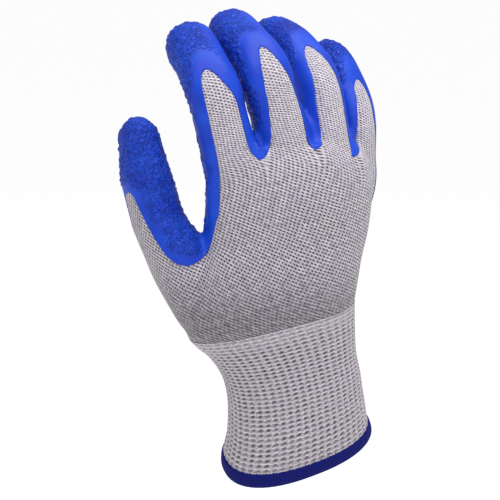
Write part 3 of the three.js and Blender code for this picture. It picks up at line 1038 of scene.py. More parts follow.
class Nodes:
    """Builds one material from nodes."""

    def __init__(self, name: str) -> None:
        """Starts a material with its one shader.

        Args:
            name: The material's name.
        """
        self.material = bpy.data.materials.new(name)
        self.material.use_nodes = True
        self.tree = self.material.node_tree
        self.shader = self.tree.nodes["Principled BSDF"]

    def feed(self, socket: Socket, value: Socket | float | tuple) -> None:
        """Sets an input to a value, or links another node's output to it.

        Args:
            socket: The input.
            value: The value or output.
        """
        if isinstance(value, bpy.types.NodeSocket):
            self.tree.links.new(value, socket)
        else:
            socket.default_value = value

    def add(self, kind: str, inputs: Inputs | None = None, **settings: object) -> bpy.types.Node:
        """Adds a node.

        Args:
            kind: The node's type, without its ShaderNode prefix.
            inputs: Values or links for its inputs, by name or number.
            settings: The node's own properties.

        Returns:
            The node.
        """
        node = self.tree.nodes.new("ShaderNode" + kind)
        for key, value in settings.items():
            setattr(node, key, value)
        for key, value in (inputs or {}).items():
            self.feed(node.inputs[key], value)
        return node

    def math(self, operation: str, *values: Socket | float) -> Socket:
        """One arithmetic step on sockets or numbers."""
        return self.add("Math", dict(enumerate(values)), operation=operation).outputs[0]

    def span(self, value: Socket, low: float, high: float, start: float = 0.0, end: float = 1.0) -> Socket:
        """Carries a value from low..high to start..end, smoothly and clamped."""
        inputs = {"Value": value, "From Min": low, "From Max": high, "To Min": start, "To Max": end}
        return self.add("MapRange", inputs, interpolation_type="SMOOTHSTEP").outputs["Result"]

    def blend(self, share: Socket | float, a: Socket | tuple, b: Socket | tuple) -> Socket:
        """Mixes two colours.

        Args:
            share: How much of the second one.
            a: The first colour.
            b: The second colour.

        Returns:
            The mixed colour.
        """
        node = self.add("Mix", {0: share}, data_type="RGBA")
        self.feed(node.inputs[6], a)
        self.feed(node.inputs[7], b)
        return node.outputs[2]

    def grain(self, vector: Socket, scale: float, detail: float = 2.0, roughness: float = 0.5) -> Socket:
        """A noise value at a scale."""
        inputs = {"Vector": vector, "Scale": scale, "Detail": detail, "Roughness": roughness}
        return self.add("TexNoise", inputs).outputs["Fac"]

    def stretched(self, vector: Socket, times: Triple) -> Socket:
        """A place multiplied on each axis."""
        return self.add("VectorMath", {0: vector, 1: times}, operation="MULTIPLY").outputs[0]

    def number(self, name: str) -> Socket:
        """A number that the mesh keeps for each vertex."""
        return self.add("Attribute", attribute_name=name).outputs["Fac"]

    def raise_by(self, height: Socket, depth: float, strength: float = 1.0) -> None:
        """Adds surface relief, on top of any that is there.

        Args:
            height: The relief, from 0 to 1.
            depth: How deep it is.
            strength: How strongly it shows.
        """
        inputs: Inputs = {"Height": height, "Distance": depth, "Strength": strength}
        relief = self.add("Bump", inputs)
        if self.shader.inputs["Normal"].links:
            self.feed(relief.inputs["Normal"], self.shader.inputs["Normal"].links[0].from_socket)
        self.feed(self.shader.inputs["Normal"], relief.outputs["Normal"])

    def finish(self, colour: Socket, roughness: Socket | float, **fixed: float) -> bpy.types.Material:
        """Feeds the shader's colour and roughness and sets its plain numbers.

        Args:
            colour: The surface colour.
            roughness: The surface roughness.
            fixed: Other shader inputs, by name with spaces as underscores.

        Returns:
            The material.
        """
        self.feed(self.shader.inputs["Base Color"], colour)
        self.feed(self.shader.inputs["Roughness"], roughness)
        for key, value in fixed.items():
            self.shader.inputs[key.replace("_", " ")].default_value = value
        return self.material


def linear(red: int, green: int, blue: int) -> tuple[float, float, float, float]:
    """Turns a screen colour into a shader colour.

    Args:
        red: From 0 to 255.
        green: From 0 to 255.
        blue: From 0 to 255.

    Returns:
        The colour's linear parts, with full cover.
    """
    steps = [c / 255 for c in (red, green, blue)]
    light = [s / 12.92 if s <= 0.04045 else ((s + 0.055) / 1.055) ** 2.4 for s in steps]
    return light[0], light[1], light[2], 1.0


@dataclass(frozen=True)
class KnitFinish:
    """Light marled yarn, with painted shade in the stitches' holes, one at each stitch, a painted highlight
    on the yarn between their rows and painted shade low on the hand. Its scales are per stitch.
    """

    name: str
    map_name: str
    # The yarn's pale and dark colours, mixed by the marl and by the painted highlight between rows.
    light: Rgb = (214, 207, 219)
    shade: Rgb = (136, 129, 144)
    cool: Rgb = (206, 200, 214)
    warm: Rgb = (214, 208, 200)
    # Painted shade: the two yarn colours darkened, for low on the hand.
    shaded_pale: Rgb = (158, 151, 159)
    shaded_dark: Rgb = (78, 73, 80)
    # Painted shade in the stitches' holes.
    hole_shade: Rgb = (36, 30, 42)
    hole_wide: float = 0.39
    hole_tall: float = 0.32
    hole_wander: float = 0.16
    hole_edge: Span = (0.45, 1.1)
    hole_strength: Span = (0.85, 1.0)
    # Painted highlight on the yarn between rows of holes: where it starts and how strong it is.
    rung_edge: Span = (0.9, 1.5)
    rung_highlight: float = 0.45
    marl_stretch: Triple = (0.35, 1.6, 1.0)
    marl_scale: float = 1.3
    marl_range: Span = (0.38, 0.64)
    marl_light: float = 0.75
    tint_scale: float = 0.09
    tint_range: Span = (0.35, 0.7)
    tint_share: float = 0.2
    fibre_scale: float = 6.0
    fibre_height: float = 0.25
    depth: float = 0.35 * MM

    def material(self) -> bpy.types.Material:
        """Builds the finish on the piece's stitch map.

        Returns:
            The material.
        """
        nodes = Nodes(self.name)
        stitches = nodes.add("UVMap", uv_map=self.map_name).outputs["UV"]
        apart = nodes.add("SeparateXYZ", {0: stitches})
        across, up = apart.outputs[0], apart.outputs[1]
        cell = nodes.add("VectorMath", {0: stitches}, operation="FLOOR").outputs[0]
        chance = nodes.add("TexWhiteNoise", {"Vector": cell}, noise_dimensions="2D")
        off_middle = -0.5 - self.hole_wander / 2
        wobble = nodes.math("MULTIPLY_ADD", chance.outputs["Value"], self.hole_wander, off_middle)
        x = nodes.math("DIVIDE", nodes.math("ADD", nodes.math("FRACT", across), wobble), self.hole_wide)
        y = nodes.math("DIVIDE", nodes.math("SUBTRACT", nodes.math("FRACT", up), 0.5), self.hole_tall)
        tilted = nodes.math("MULTIPLY_ADD", x, nodes.number("slant"), y)
        squares = nodes.math("ADD", nodes.math("POWER", x, 2.0), nodes.math("POWER", tilted, 2.0))
        reach = nodes.math("SQRT", squares)
        gap = nodes.span(reach, *self.hole_edge, 1.0, 0.0)
        strength = nodes.span(chance.outputs["Value"], 0.0, 1.0, *self.hole_strength)
        # Painted shade in each stitch's opening, scaled by the mesh's open number.
        hole_shade = nodes.math("MULTIPLY", gap, nodes.math("MULTIPLY", strength, nodes.number("open")))
        marl = nodes.grain(nodes.stretched(stitches, self.marl_stretch), self.marl_scale, 3.0, 0.65)
        marled = nodes.span(marl, *self.marl_range, 0.0, self.marl_light)
        cloud = nodes.grain(stitches, self.tint_scale, 2.0)
        # Painted highlight on the yarn between rows, added to the marl's share.
        between = nodes.span(nodes.math("ABSOLUTE", y), *self.rung_edge)
        lit = nodes.math("MULTIPLY_ADD", between, self.rung_highlight, marled)
        share = nodes.math("MINIMUM", lit, 1.0)
        yarn = nodes.blend(share, linear(*self.shade), linear(*self.light))
        tint = nodes.blend(nodes.span(cloud, *self.tint_range), linear(*self.cool), linear(*self.warm))
        warm = nodes.blend(self.tint_share, yarn, tint)
        # Painted shade: darker copies of the yarn colours, mixed in most just above the ribbing.
        worn = nodes.blend(share, linear(*self.shaded_dark), linear(*self.shaded_pale))
        shaded_yarn = nodes.blend(nodes.number("painted_shade"), warm, worn)
        # The holes' painted shade goes over the yarn.
        colour = nodes.blend(hole_shade, shaded_yarn, linear(*self.hole_shade))
        fibre = nodes.grain(stitches, self.fibre_scale, 2.0, 0.7)
        height = nodes.math("MULTIPLY_ADD", fibre, self.fibre_height, nodes.math("SUBTRACT", 1.0, gap))
        nodes.raise_by(height, self.depth, 0.8)
        return nodes.finish(colour, 0.92, Sheen_Weight=0.25, Sheen_Roughness=0.6, Specular_IOR_Level=0.2)


@dataclass(frozen=True)
class RibFinish:
    """Ribbed knit: light wales, with painted shade in the gaps between their rungs and a painted highlight
    on the rungs.
    """

    name: str
    map_name: str
    # The yarn's pale and dark colours, mixed by the marl and by the painted highlight on the rungs.
    light: Rgb = (207, 201, 208)
    shade: Rgb = (124, 118, 126)
    # Painted shade in the gaps between the wales.
    hole_shade: Rgb = (78, 73, 82)
    hole_strength: Span = (0.55, 1.0)
    # Painted highlight on the rungs.
    rung_highlight: float = 0.5
    marl_stretch: Triple = (3.0, 3.2, 1.0)
    marl_range: Span = (0.35, 0.68)
    marl_light: float = 0.6
    ply_scale: float = 9.0
    ply_depth: float = 0.2 * MM

    def material(self) -> bpy.types.Material:
        """Builds the finish on the cuff's rib map.

        Returns:
            The material.
        """
        nodes = Nodes(self.name)
        ribs = nodes.add("UVMap", uv_map=self.map_name).outputs["UV"]
        cell = nodes.add("VectorMath", {0: ribs}, operation="FLOOR").outputs[0]
        chance = nodes.add("TexWhiteNoise", {"Vector": cell}, noise_dimensions="2D").outputs["Value"]
        gap = nodes.number("gap")
        strength = nodes.span(chance, 0.0, 1.0, *self.hole_strength)
        marl = nodes.grain(nodes.stretched(ribs, self.marl_stretch), 1.0, 3.0, 0.6)
        marled = nodes.span(marl, *self.marl_range, 0.0, self.marl_light)
        # Painted highlight on the rungs, added to the marl's share.
        lit = nodes.math("MULTIPLY_ADD", nodes.number("rung"), self.rung_highlight, marled)
        yarn = nodes.blend(nodes.math("MINIMUM", lit, 1.0), linear(*self.shade), linear(*self.light))
        # Painted shade in the gaps, over the yarn.
        colour = nodes.blend(nodes.math("MULTIPLY", gap, strength), yarn, linear(*self.hole_shade))
        nodes.raise_by(nodes.grain(ribs, self.ply_scale, 2.0, 0.7), self.ply_depth, 0.6)
        return nodes.finish(colour, 0.92, Sheen_Weight=0.25, Sheen_Roughness=0.6, Specular_IOR_Level=0.2)


@dataclass(frozen=True)
class ThreadFinish:
    """Navy overlock thread, lighter along each strand: a painted highlight along the middle of each strand
    and painted shade at its sides.
    """

    name: str
    map_name: str
    # Painted shade at each strand's sides, and the painted highlight along its middle.
    deep: Rgb = (6, 10, 66)
    crown_highlight: Rgb = (14, 24, 122)
    patch_scale: float = 0.6
    patch_range: Span = (0.3, 0.7)
    patch_strength: Span = (0.6, 1.0)
    twist_scale: float = 5.0
    twist_depth: float = 0.15 * MM

    def material(self) -> bpy.types.Material:
        """Builds the finish on the hem's strand map.

        Returns:
            The material.
        """
        nodes = Nodes(self.name)
        strands = nodes.add("UVMap", uv_map=self.map_name).outputs["UV"]
        across = nodes.add("SeparateXYZ", {0: strands}).outputs[0]
        # Painted highlight along the middle of each strand, fading to painted shade at its sides, a little
        # uneven in patches.
        side = nodes.math("ABSOLUTE", nodes.math("SUBTRACT", nodes.math("FRACT", across), 0.5))
        crown_highlight = nodes.span(side, 0.0, 0.5, 1.0, 0.0)
        patchy = nodes.span(nodes.grain(strands, self.patch_scale), *self.patch_range, *self.patch_strength)
        share = nodes.math("MULTIPLY", crown_highlight, patchy)
        colour = nodes.blend(share, linear(*self.deep), linear(*self.crown_highlight))
        nodes.raise_by(nodes.grain(strands, self.twist_scale, 2.0, 0.7), self.twist_depth, 0.5)
        return nodes.finish(colour, 0.7, Sheen_Weight=0.02, Specular_IOR_Level=0.12)


@dataclass(frozen=True)
class LatexFinish:
    """Blue latex, satin near its edge and crinkled over the grip, with painted shade in the crinkle's
    valleys and fine creases. Its scales are per metre.
    """

    name: str
    base: Rgb = (14, 54, 178)
    lit: Rgb = (20, 70, 196)
    # Painted shade colour for the crinkle's valleys and fine creases.
    deep: Rgb = (6, 14, 96)
    squeeze: Triple = (0.8, 0.8, 1.3)
    swirl_scale: float = 480.0
    line_width: float = 0.06
    ridge_width: float = 0.14
    ridge_depth: float = 0.6 * MM
    break_scale: float = 260.0
    break_range: Span = (0.42, 0.58)
    cloud_scale: float = 60.0
    cloud_range: Span = (0.3, 0.75)
    # How strongly painted shade darkens the crinkle's valleys.
    fold_shade: float = 0.4
    # How strongly painted shade darkens the fine creases.
    crease_shade_amount: float = 0.6
    pore_scale: float = 1500.0
    pore_depth: float = 0.04 * MM
    roughness: Span = (0.52, 0.5)

    def material(self) -> bpy.types.Material:
        """Builds the finish on the piece's own place.

        Returns:
            The material.
        """
        nodes = Nodes(self.name)
        plain = nodes.add("TexCoord").outputs["Object"]
        where = nodes.stretched(plain, self.squeeze)
        crinkle = nodes.number("crinkle")
        fold = nodes.number("fold")
        swirl = nodes.grain(where, self.swirl_scale, 2.0, 0.55)
        ridge = nodes.math("ABSOLUTE", nodes.math("SUBTRACT", swirl, 0.5))
        # Painted shade in fine creases along the swirl's middle line, broken up and only where crinkled.
        line = nodes.span(ridge, 0.0, self.line_width, 1.0, 0.0)
        broken = nodes.span(nodes.grain(where, self.break_scale, 1.0), *self.break_range)
        crease_shade = nodes.math("MULTIPLY", nodes.math("MULTIPLY", line, broken), crinkle)
        cloud = nodes.span(nodes.grain(where, self.cloud_scale, 3.0), *self.cloud_range)
        even = nodes.blend(cloud, linear(*self.base), linear(*self.lit))
        # Painted shade in the valleys of the raised folds.
        fold_shaded = nodes.blend(nodes.math("MULTIPLY", fold, self.fold_shade), even, linear(*self.deep))
        # Painted shade in the fine creases, over the rest.
        colour = nodes.blend(nodes.math("MULTIPLY", crease_shade, self.crease_shade_amount), fold_shaded, linear(*self.deep))
        relief = nodes.span(ridge, 0.0, self.ridge_width)
        nodes.raise_by(nodes.math("MULTIPLY", relief, crinkle), self.ridge_depth)
        nodes.raise_by(nodes.grain(where, self.pore_scale), self.pore_depth, 0.35)
        rough = nodes.span(crinkle, 0.0, 1.0, *self.roughness)
        return nodes.finish(colour, rough, Specular_IOR_Level=0.24)


@dataclass
class Liner:
    """The knitted hand: one hollow skin of plain knit, open at the wrist."""

    hand: FlatHand
    form: WornForm
    wall: float = 1.2 * MM
    face: float = 1.3 * MM
    node: str = "knit_liner"
    slot: str = "knit"
    finish: KnitFinish = KnitFinish("plain_knit", "stitches")
    tight: float = 0.72
    tight_height: Span = (8 * MM, 30 * MM)
    end_tight: float = 0.18
    end_reach: Span = (0.45, 0.62)
    # Painted shade on the yarn: its share just above the ribbing and below the fingers.
    low_shade: float = 0.6
    low_height: Span = (2 * MM, 34 * MM)
    back_shade: float = 0.36
    back_height: Span = (50 * MM, 105 * MM)

    def build(self) -> Piece:
        """Makes the hollow liner with its stitch map and carries it to the worn form.

        Returns:
            The liner.
        """
        skin = self.hand.skin("knitted_hand", 0.0, self.face)
        points = points_of(skin)
        across, up, slant = StitchMap(self.form).coordinates(points)
        keep_map(skin, "stitches", across, up)
        keep_number(skin, "slant", slant)
        # The open number and the next one feed painted shade: in the stitches' holes and low on the hand.
        keep_number(skin, "open", self.openness(points))
        keep_number(skin, "painted_shade", self.painted_shade_share(points))
        add_modifier(skin, "SOLIDIFY", thickness=self.wall, offset=-1.0, use_rim=True)
        move_points(skin, self.form.carry(points_of(skin)))
        return skin

    def openness(self, points: Array) -> Array:
        """How dark the painted shade in the stitches' holes is: less just above the ribbing and at the
        fingers' ends.

        Args:
            points: Points of the flat hand.

        Returns:
            One number from 0 to 1 for each point.
        """
        up = points[:, 2] - SIZES.cuff_height
        reach = np.max([finger.place(points)[0] / finger.length for finger in self.form.fingers], axis=0)
        ends = self.end_tight * smoothstep(reach, *self.end_reach)
        return self.tight + smoothstep(up, *self.tight_height) * (1 - self.tight - ends)

    def painted_shade_share(self, points: Array) -> Array:
        """How much painted shade darkens the yarn: most just above the ribbing, and none on the fingers.

        Args:
            points: Points of the flat hand.

        Returns:
            One number from 0 to 1 for each point.
        """
        up = points[:, 2] - SIZES.cuff_height
        low_down = 1 - smoothstep(up, *self.low_height)
        below_fingers = 1 - smoothstep(up, *self.back_height)
        return self.low_shade * low_down + self.back_shade * below_fingers


@dataclass
class Coating:
    """The latex: a skin over the palm, the thumb and the fingers, with a fine crinkle where it grips."""

    hand: FlatHand
    form: WornForm
    thick: float = 1.1 * MM
    face: float = 1.5 * MM
    stand_off: float = 1.4 * MM
    lap: float = 0.15 * MM
    edge_rise: float = 0.35 * MM
    edge_run: float = 7 * MM
    smooth_edge: float = 3.2 * MM
    smooth_tip: float = 7 * MM
    fold_height: float = 0.5 * MM
    fold_pitch: float = 3.0 * MM
    patch: float = 3 * MM
    patch_pitch: float = 7 * MM
    crinkled_from: float = 0.02
    snap: float = 0.2
    finger_from: Span = (6 * MM, 26 * MM)
    thumb_side: float = -0.52
    tip_from: Span = (0.35, 0.5)
    back_facing: Span = (0.45, 0.95)
    grip_way: Triple = (-0.8, 0.4, 0.45)
    grip_facing: Span = (-0.78, -0.42)
    fade: Span = (-0.5 * MM, 2.5 * MM)
    bend: float = 0.5
    bend_scale: float = 0.6
    coarse: float = 2.2
    fine: float = 0.8
    fine_scale: float = 2.1
    mean_height: float = 0.7
    valley: Span = (0.05, 0.6)
    inner_share: float = 0.2
    node: str = "latex_coating"
    slot: str = "latex"
    finish: LatexFinish = LatexFinish("crinkled_latex")

    def cut(self, skin: Piece, values: Array) -> None:
        """Cuts the skin where the field is 0 and drops its bare side.

        Args:
            skin: The whole skin.
            values: The field, one number for each vertex.
        """
        mesh = bmesh.new()
        mesh.from_mesh(skin.data)
        field = mesh.verts.layers.float.new("edge")
        for vert in mesh.verts:
            vert[field] = values[vert.index]
        for edge in list(mesh.edges):
            a, b = edge.verts
            if a[field] * b[field] < 0:
                share = a[field] / (a[field] - b[field])
                near, other, part = (a, b, share) if share < 0.5 else (b, a, 1 - share)
                if part < self.snap:
                    near.co += (other.co - near.co) * part
                    near[field] = 0.0
        for edge in list(mesh.edges):
            a, b = edge.verts
            if a[field] * b[field] < 0:
                _new_edge, vert = bmesh.utils.edge_split(edge, a, a[field] / (a[field] - b[field]))
                vert[field] = 0.0
        for face in list(mesh.faces):
            signs = [vert[field] for vert in face.verts]
            if min(signs) < 0 < max(signs):
                ends = [vert for vert in face.verts if vert[field] == 0.0]
                if len(ends) >= 2:
                    bmesh.utils.face_split(face, ends[0], ends[-1])
        bare = [face for face in mesh.faces if sum(vert[field] for vert in face.verts) <= 0]
        bmesh.ops.delete(mesh, geom=bare, context="FACES")
        mesh.to_mesh(skin.data)
        mesh.free()

    def crinkled(self, points: Array, normals: Array, edge: Array) -> Array:
        """How strongly the coat is crinkled: fully where it grips, not along its edge or over the back.

        Args:
            points: Points of the flat hand.
            normals: Their outward directions.
            edge: Their distances from the coat's edge.

        Returns:
            One number from 0 to 1 for each point.
        """
        order, places, _off = self.form.nearest(points)
        along = places[order[0], 0, np.arange(len(points))]
        on_finger = smoothstep(along, *self.finger_from) * (points[:, 0] > self.thumb_side * SIZES.breadth)
        length = np.array([finger.length for finger in self.form.fingers])[order[0]]
        on_tip = on_finger * smoothstep(along / length, *self.tip_from)
        facing = smoothstep(normals @ np.array(self.grip_way), *self.grip_facing)
        margin = self.smooth_edge + self.smooth_tip * on_tip * smoothstep(-normals[:, 1], *self.back_facing)
        patchy = np.array([noise.noise(Vector(p) / self.patch_pitch) for p in points])
        away = smoothstep(edge - margin - patchy * self.patch, *self.fade)
        return away * (1 - on_finger * (1 - facing))

    def build(self) -> Piece:
        """Makes the coating, with its hidden inner wall thinned out, and carries it to the worn form.

        Returns:
            The coating.
        """
        skin = self.hand.skin("latex_grip", self.stand_off, self.face)
        self.cut(skin, CoatEdge(self.form).value(points_of(skin)))
        points = points_of(skin)
        normals = points_of(skin, "normal")
        edge = kept_number(skin, "edge")
        many = len(points)
        add_modifier(skin, "SOLIDIFY", thickness=self.thick, offset=-1.0, use_rim=True)
        thin = (1 - smoothstep(edge, 0, self.edge_run)) * (self.stand_off - self.edge_rise)
        outer = points - normals * thin[:, None]
        inner = points - normals * (self.stand_off - self.lap)
        move_points(skin, np.vstack([outer, inner]))
        crinkle = self.crinkled(points, normals, edge)
        keep_number(skin, "crinkle", np.concatenate([crinkle, np.zeros(many)]))
        hidden = [min(face.vertices) >= many for face in skin.data.polygons]
        edit_faces(skin, hidden, lambda: bpy.ops.mesh.decimate(ratio=self.inner_share))
        crinkle = kept_number(skin, "crinkle") > self.crinkled_from
        rough = [any(crinkle[v] for v in face.vertices) for face in skin.data.polygons]
        edit_faces(skin, rough, lambda: bpy.ops.mesh.subdivide(number_cuts=1, smoothness=0))
        self.fold(skin)
        move_points(skin, self.form.carry(points_of(skin)))
        return skin

    def fold(self, skin: Piece) -> None:
        """Raises the crinkle's folds out of the grip, and keeps where their valleys lie for the latex's
        painted shade.

        Args:
            skin: The coating, still flat.
        """
        points = points_of(skin)
        normals = points_of(skin, "normal")
        crinkle = kept_number(skin, "crinkle")
        height = np.zeros(len(points))
        for i in np.flatnonzero(crinkle > self.crinkled_from):
            at = Vector(points[i]) / self.fold_pitch
            at += noise.noise_vector(at * self.bend_scale) * self.bend
            height[i] = abs(noise.noise(at)) * self.coarse
            height[i] += abs(noise.noise(at * self.fine_scale)) * self.fine
        raised = (height - self.mean_height) * self.fold_height * crinkle
        move_points(skin, points + normals * raised[:, None])
        keep_number(skin, "fold", crinkle * (1 - smoothstep(height, *self.valley)))


def even_angles() -> tuple[Array, Array]:
    """Spaces out the cuff's ribs evenly.

    Returns:
        Shares of the wrist's girth, and the section angles that they fall on.
    """
    angles = np.linspace(0, math.tau, GIRTH_STEPS + 1)
    wrist = trunk_section(np.array([NARROWEST]))
    ring = np.stack(section_point(angles, wrist.half, wrist.depth), axis=1)
    steps = np.concatenate([[0], np.cumsum(np.linalg.norm(np.diff(ring, axis=0), axis=1))])
    return steps / steps[-1], angles


@dataclass
class Cuff:
    """The ribbed cuff, with every rib and rung as real relief. Its high rows are counted from the top."""

    ribs: int = 50
    rows: int = 34
    per_rib: int = 8
    per_row: int = 5
    wall: float = 1.8 * MM
    inner_rows: int = 14
    relief: float = 0.7 * MM
    gap_half: float = 0.38
    gap_tall: float = 0.36
    tight: float = 0.45
    slant: float = 0.18
    wave: float = 0.08
    rung_edge: Span = (0.3, 0.46)
    gap_edge: Span = (0.5, 1.1)
    low_rows: int = 4
    high_rows: tuple[int, int] = (6, 1)
    wale_rise: float = 0.35
    gap_sink: float = 0.75
    lift: float = 0.1
    low_fade: float = 0.02
    high_fade: float = 0.93
    high_flat: float = 0.7
    low: float = 0.03
    high: float = 1.0
    node: str = "rib_cuff"
    slot: str = "ribbing"
    finish: RibFinish = RibFinish("rib_knit", "ribs")

    def rung(self, across: Array, up: Array) -> Array:
        """How near the yarn between two gaps a point lies, from 0 to 1."""
        return smoothstep(np.abs(self.slanted(across, up) % 1 - 0.5), *self.rung_edge)

    def slanted(self, across: Array, up: Array) -> Array:
        """The row number along the rungs, which climb a little from rib to rib."""
        return up + self.wave * np.sin(math.tau * across) + self.slant * (across % 1)

    def gap(self, across: Array, up: Array) -> Array:
        """How deep in a gap between two wales a point lies, from 0 to 1.

        Args:
            across: Rib number.
            up: Row number.

        Returns:
            One number for each point.
        """
        x = (across % 1 - 0.5) / self.gap_half
        y = (self.slanted(across, up) % 1 - 0.5) / self.gap_tall
        reach = np.sqrt(x**2 + y**2)
        below_top, at_top = self.high_rows
        stretch = 1 - smoothstep(up, self.rows - below_top, self.rows - at_top)
        stretch *= smoothstep(up, 0, self.low_rows)
        return (1 - smoothstep(reach, *self.gap_edge)) * (self.tight + (1 - self.tight) * stretch)

    def build(self) -> Piece:
        """Makes the cuff's outer relief and its plain inner wall as one closed ring.

        Returns:
            The cuff.
        """
        shares, angles = even_angles()
        outer_rows = self.rows * self.per_row
        total = outer_rows + self.inner_rows + 2
        outer_end = outer_rows / total
        inner_start = (outer_rows + 1) / total
        inner_end = (total - 1) / total

        def place(around: Array, up: Array) -> Array:
            """Climbs the outer face and comes down the inner one.

            Args:
                around: Shares of the girth.
                up: Shares of the way up and down.

            Returns:
                The points.
            """
            outside = up <= outer_end + TINY
            bottom = up > inner_end + TINY
            climb = np.clip(up / outer_end, 0, 1)
            fall = np.clip((up - inner_start) / (inner_end - inner_start), 0, 1)
            share = np.where(bottom, 0, np.where(outside, climb, 1 - fall))
            along = self.low + share * (self.high - self.low)
            across = around * self.ribs
            row = share * self.rows
            gap = self.gap(across, row)
            wale = np.cos(math.tau * across) * 0.5 + 0.5
            fade = 1 - smoothstep(share, self.high_fade, 1) * self.high_flat
            fade *= smoothstep(share, 0, self.low_fade)
            grow = self.relief * (self.wale_rise * wale - self.gap_sink * gap + self.lift) * fade
            grow = np.where(bottom, 0, np.where(outside, grow, -self.wall))
            angle = np.interp(around % 1, shares, angles)
            return on_section(trunk_section(along), angle, grow)

        piece = wrapped_grid("ribbed_cuff", self.ribs * self.per_rib, total, place)
        both = scale_map(piece, "ribs", self.ribs, self.rows / outer_end)
        # The gap and rung numbers feed the rib finish's painted shade in the gaps and painted highlight on
        # the rungs.
        keep_number(piece, "gap", self.at_vertices(piece, both, self.gap))
        keep_number(piece, "rung", self.at_vertices(piece, both, self.rung))
        move_points(piece, WornForm().carry(points_of(piece)))
        return piece

    def at_vertices(self, piece: Piece, both: Array, measure: Callable[[Array, Array], Array]) -> Array:
        """A measure of the rib map at each vertex of the outer face, and 0 on the inner one.

        Args:
            piece: The cuff.
            both: Rib and row numbers at each corner of its faces.
            measure: Gives a number for rib and row numbers.

        Returns:
            One number for each vertex.
        """
        corners = np.empty(len(piece.data.loops), int)
        piece.data.loops.foreach_get("vertex_index", corners)
        values = np.zeros(len(piece.data.vertices))
        values[corners] = measure(both[:, 0], both[:, 1]) * (both[:, 1] < self.rows + 0.01)
        return values


@dataclass
class Hem:
    """The overlocked hem: strands of thread wrapped over the cuff's lower edge."""

    strands: int = 250
    height: float = 5.5 * MM
    proud: float = 1.1 * MM
    wall: float = 1.8 * MM
    tooth: float = 0.08
    ripple: float = 0.16 * MM
    flatness: Pair = (0.45, 0.7)
    faces_round: int = 24
    faces_long: int = 4
    node: str = "hem_overlock"
    slot: str = "hem_thread"
    finish: ThreadFinish = ThreadFinish("overlock_thread", "strands")

    def build(self) -> Piece:
        """Makes the hem as one closed ring, with each strand's relief and an uneven upper edge.

        Returns:
            The hem.
        """
        shares, angles = even_angles()

        def place(around: Array, up: Array) -> Array:
            """Goes round the band's own flat section.

            Args:
                around: Shares of the wrist's girth.
                up: Shares of the way round the section.

            Returns:
                The points.
            """
            turn = up * math.tau
            strand = around * self.strands
            tooth = 0.5 + 0.5 * np.cos(math.pi * strand)
            out = -np.cos(turn)
            rise = np.sin(turn)
            flat = np.sign(out) * np.abs(out) ** self.flatness[0]
            tall = np.sign(rise) * np.abs(rise) ** self.flatness[1]
            share = 0.5 + 0.5 * tall * (1 + (tall > 0) * tooth * self.tooth)
            along = share * self.height / SIZES.cuff_height
            ripple = self.ripple * (np.abs(np.sin(math.pi * strand)) - 0.5)
            grow = -self.wall / 2 + flat * (self.wall / 2 + self.proud) + np.sign(out) * ripple
            angle = np.interp(around % 1, shares, angles)
            return on_section(trunk_section(along), angle, grow)

        piece = wrapped_grid("overlock_hem", self.strands * self.faces_long, self.faces_round, place)
        scale_map(piece, "strands", self.strands, self.faces_round / 2)
        move_points(piece, WornForm().carry(points_of(piece)))
        return piece


def dress(maker: Liner | Coating | Cuff | Hem) -> None:
    """Makes one piece, gives it its finish and lets it stand for its CAD node.

    Args:
        maker: The piece's class with its sizes.
    """
    piece = maker.build()
    piece.data.materials.clear()
    piece.data.materials.append(maker.finish.material())
    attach(piece, "root")
    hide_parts(maker.node)
    LOG.info("%s stands for %s with %d faces", piece.name, maker.node, len(piece.data.polygons))


class Lamp(Enum):
    """The studio's soft lights: place, power in watts and size, each aimed at the glove."""

    KEY = ((-0.4, -0.8, 1.4), 13.0, 0.7)
    FILL = ((1.1, -0.9, 0.5), 2.0, 1.0)
    TOP = ((0.25, 0.0, 1.6), 17.0, 0.9)


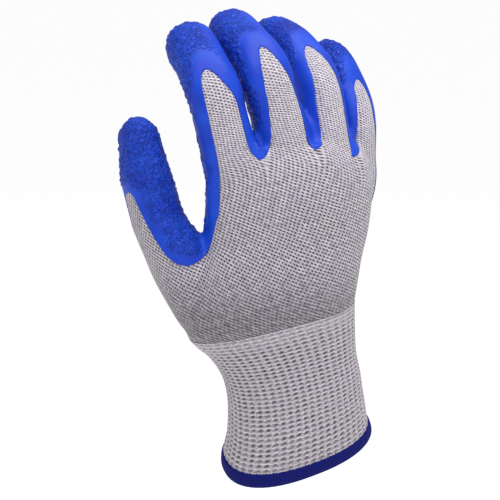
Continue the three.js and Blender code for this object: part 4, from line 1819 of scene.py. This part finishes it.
@dataclass
class Studio:
    """A plain pale floor, soft light and the camera."""

    aim: Triple = (-23.1 * MM, 8 * MM, 101.5 * MM)
    azimuth: float = -20.0
    elevation: float = 10.0
    distance: float = 0.8
    lens: float = 112.9
    sensor: float = 36.0
    clip: Pair = (0.05, 400.0)
    floor_level: float = -0.6
    floor_size: float = 240.0
    sky: float = 0.46

    def camera(self) -> None:
        """Sets the camera at the photograph's viewing angle."""
        a = math.radians(self.azimuth)
        e = math.radians(self.elevation)
        back = Vector((math.sin(a) * math.cos(e), -math.cos(a) * math.cos(e), math.sin(e)))
        deselect()
        bpy.ops.object.camera_add(location=Vector(self.aim) + back * self.distance)
        camera = bpy.context.object
        camera.rotation_euler = back.to_track_quat("Z", "Y").to_euler()
        camera.data.lens = self.lens
        camera.data.sensor_width = self.sensor
        camera.data.clip_start, camera.data.clip_end = self.clip
        bpy.context.scene.camera = camera

    def floor(self) -> None:
        """Lays a wide pale floor well under the glove."""
        deselect()
        bpy.ops.mesh.primitive_plane_add(size=self.floor_size, location=(0, 0, self.floor_level))
        floor = bpy.context.object
        floor.name = "floor"
        nodes = Nodes("pale_floor")
        pale = linear(250, 250, 250)
        nodes.shader.inputs["Emission Color"].default_value = pale
        floor.data.materials.append(nodes.finish(pale, 0.9, Specular_IOR_Level=0.0, Emission_Strength=0.56))

    def lights(self) -> None:
        """Hangs the soft lights and sets the even light all round."""
        for lamp in Lamp:
            place, power, size = lamp.value
            deselect()
            bpy.ops.object.light_add(type="AREA", location=place)
            light = bpy.context.object
            light.name = "light_" + lamp.name.lower()
            light.data.energy = power
            light.data.size = size
            light.rotation_euler = (Vector(place) - Vector(self.aim)).to_track_quat("Z", "Y").to_euler()
        world = bpy.data.worlds.new("studio")
        bpy.context.scene.world = world
        world.use_nodes = True
        sky = world.node_tree.nodes["Background"]
        sky.inputs["Color"].default_value = (1.0, 1.0, 1.0, 1.0)
        sky.inputs["Strength"].default_value = self.sky

    def build(self) -> None:
        """Sets up the whole studio."""
        self.camera()
        self.floor()
        self.lights()
        bpy.context.scene.view_settings.view_transform = "Standard"


def main() -> None:
    """Builds and dresses every piece of the glove and sets up the studio."""
    logging.basicConfig(level=logging.INFO, format="%(name)s: %(message)s")
    noise.seed_set(NOISE_SEED)
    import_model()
    form = WornForm()
    hand = FlatHand(form)
    for maker in (Liner(hand, form), Coating(hand, form), Cuff(), Hem()):
        dress(maker)
    Studio().build()


if __name__ == "__main__":
    main()
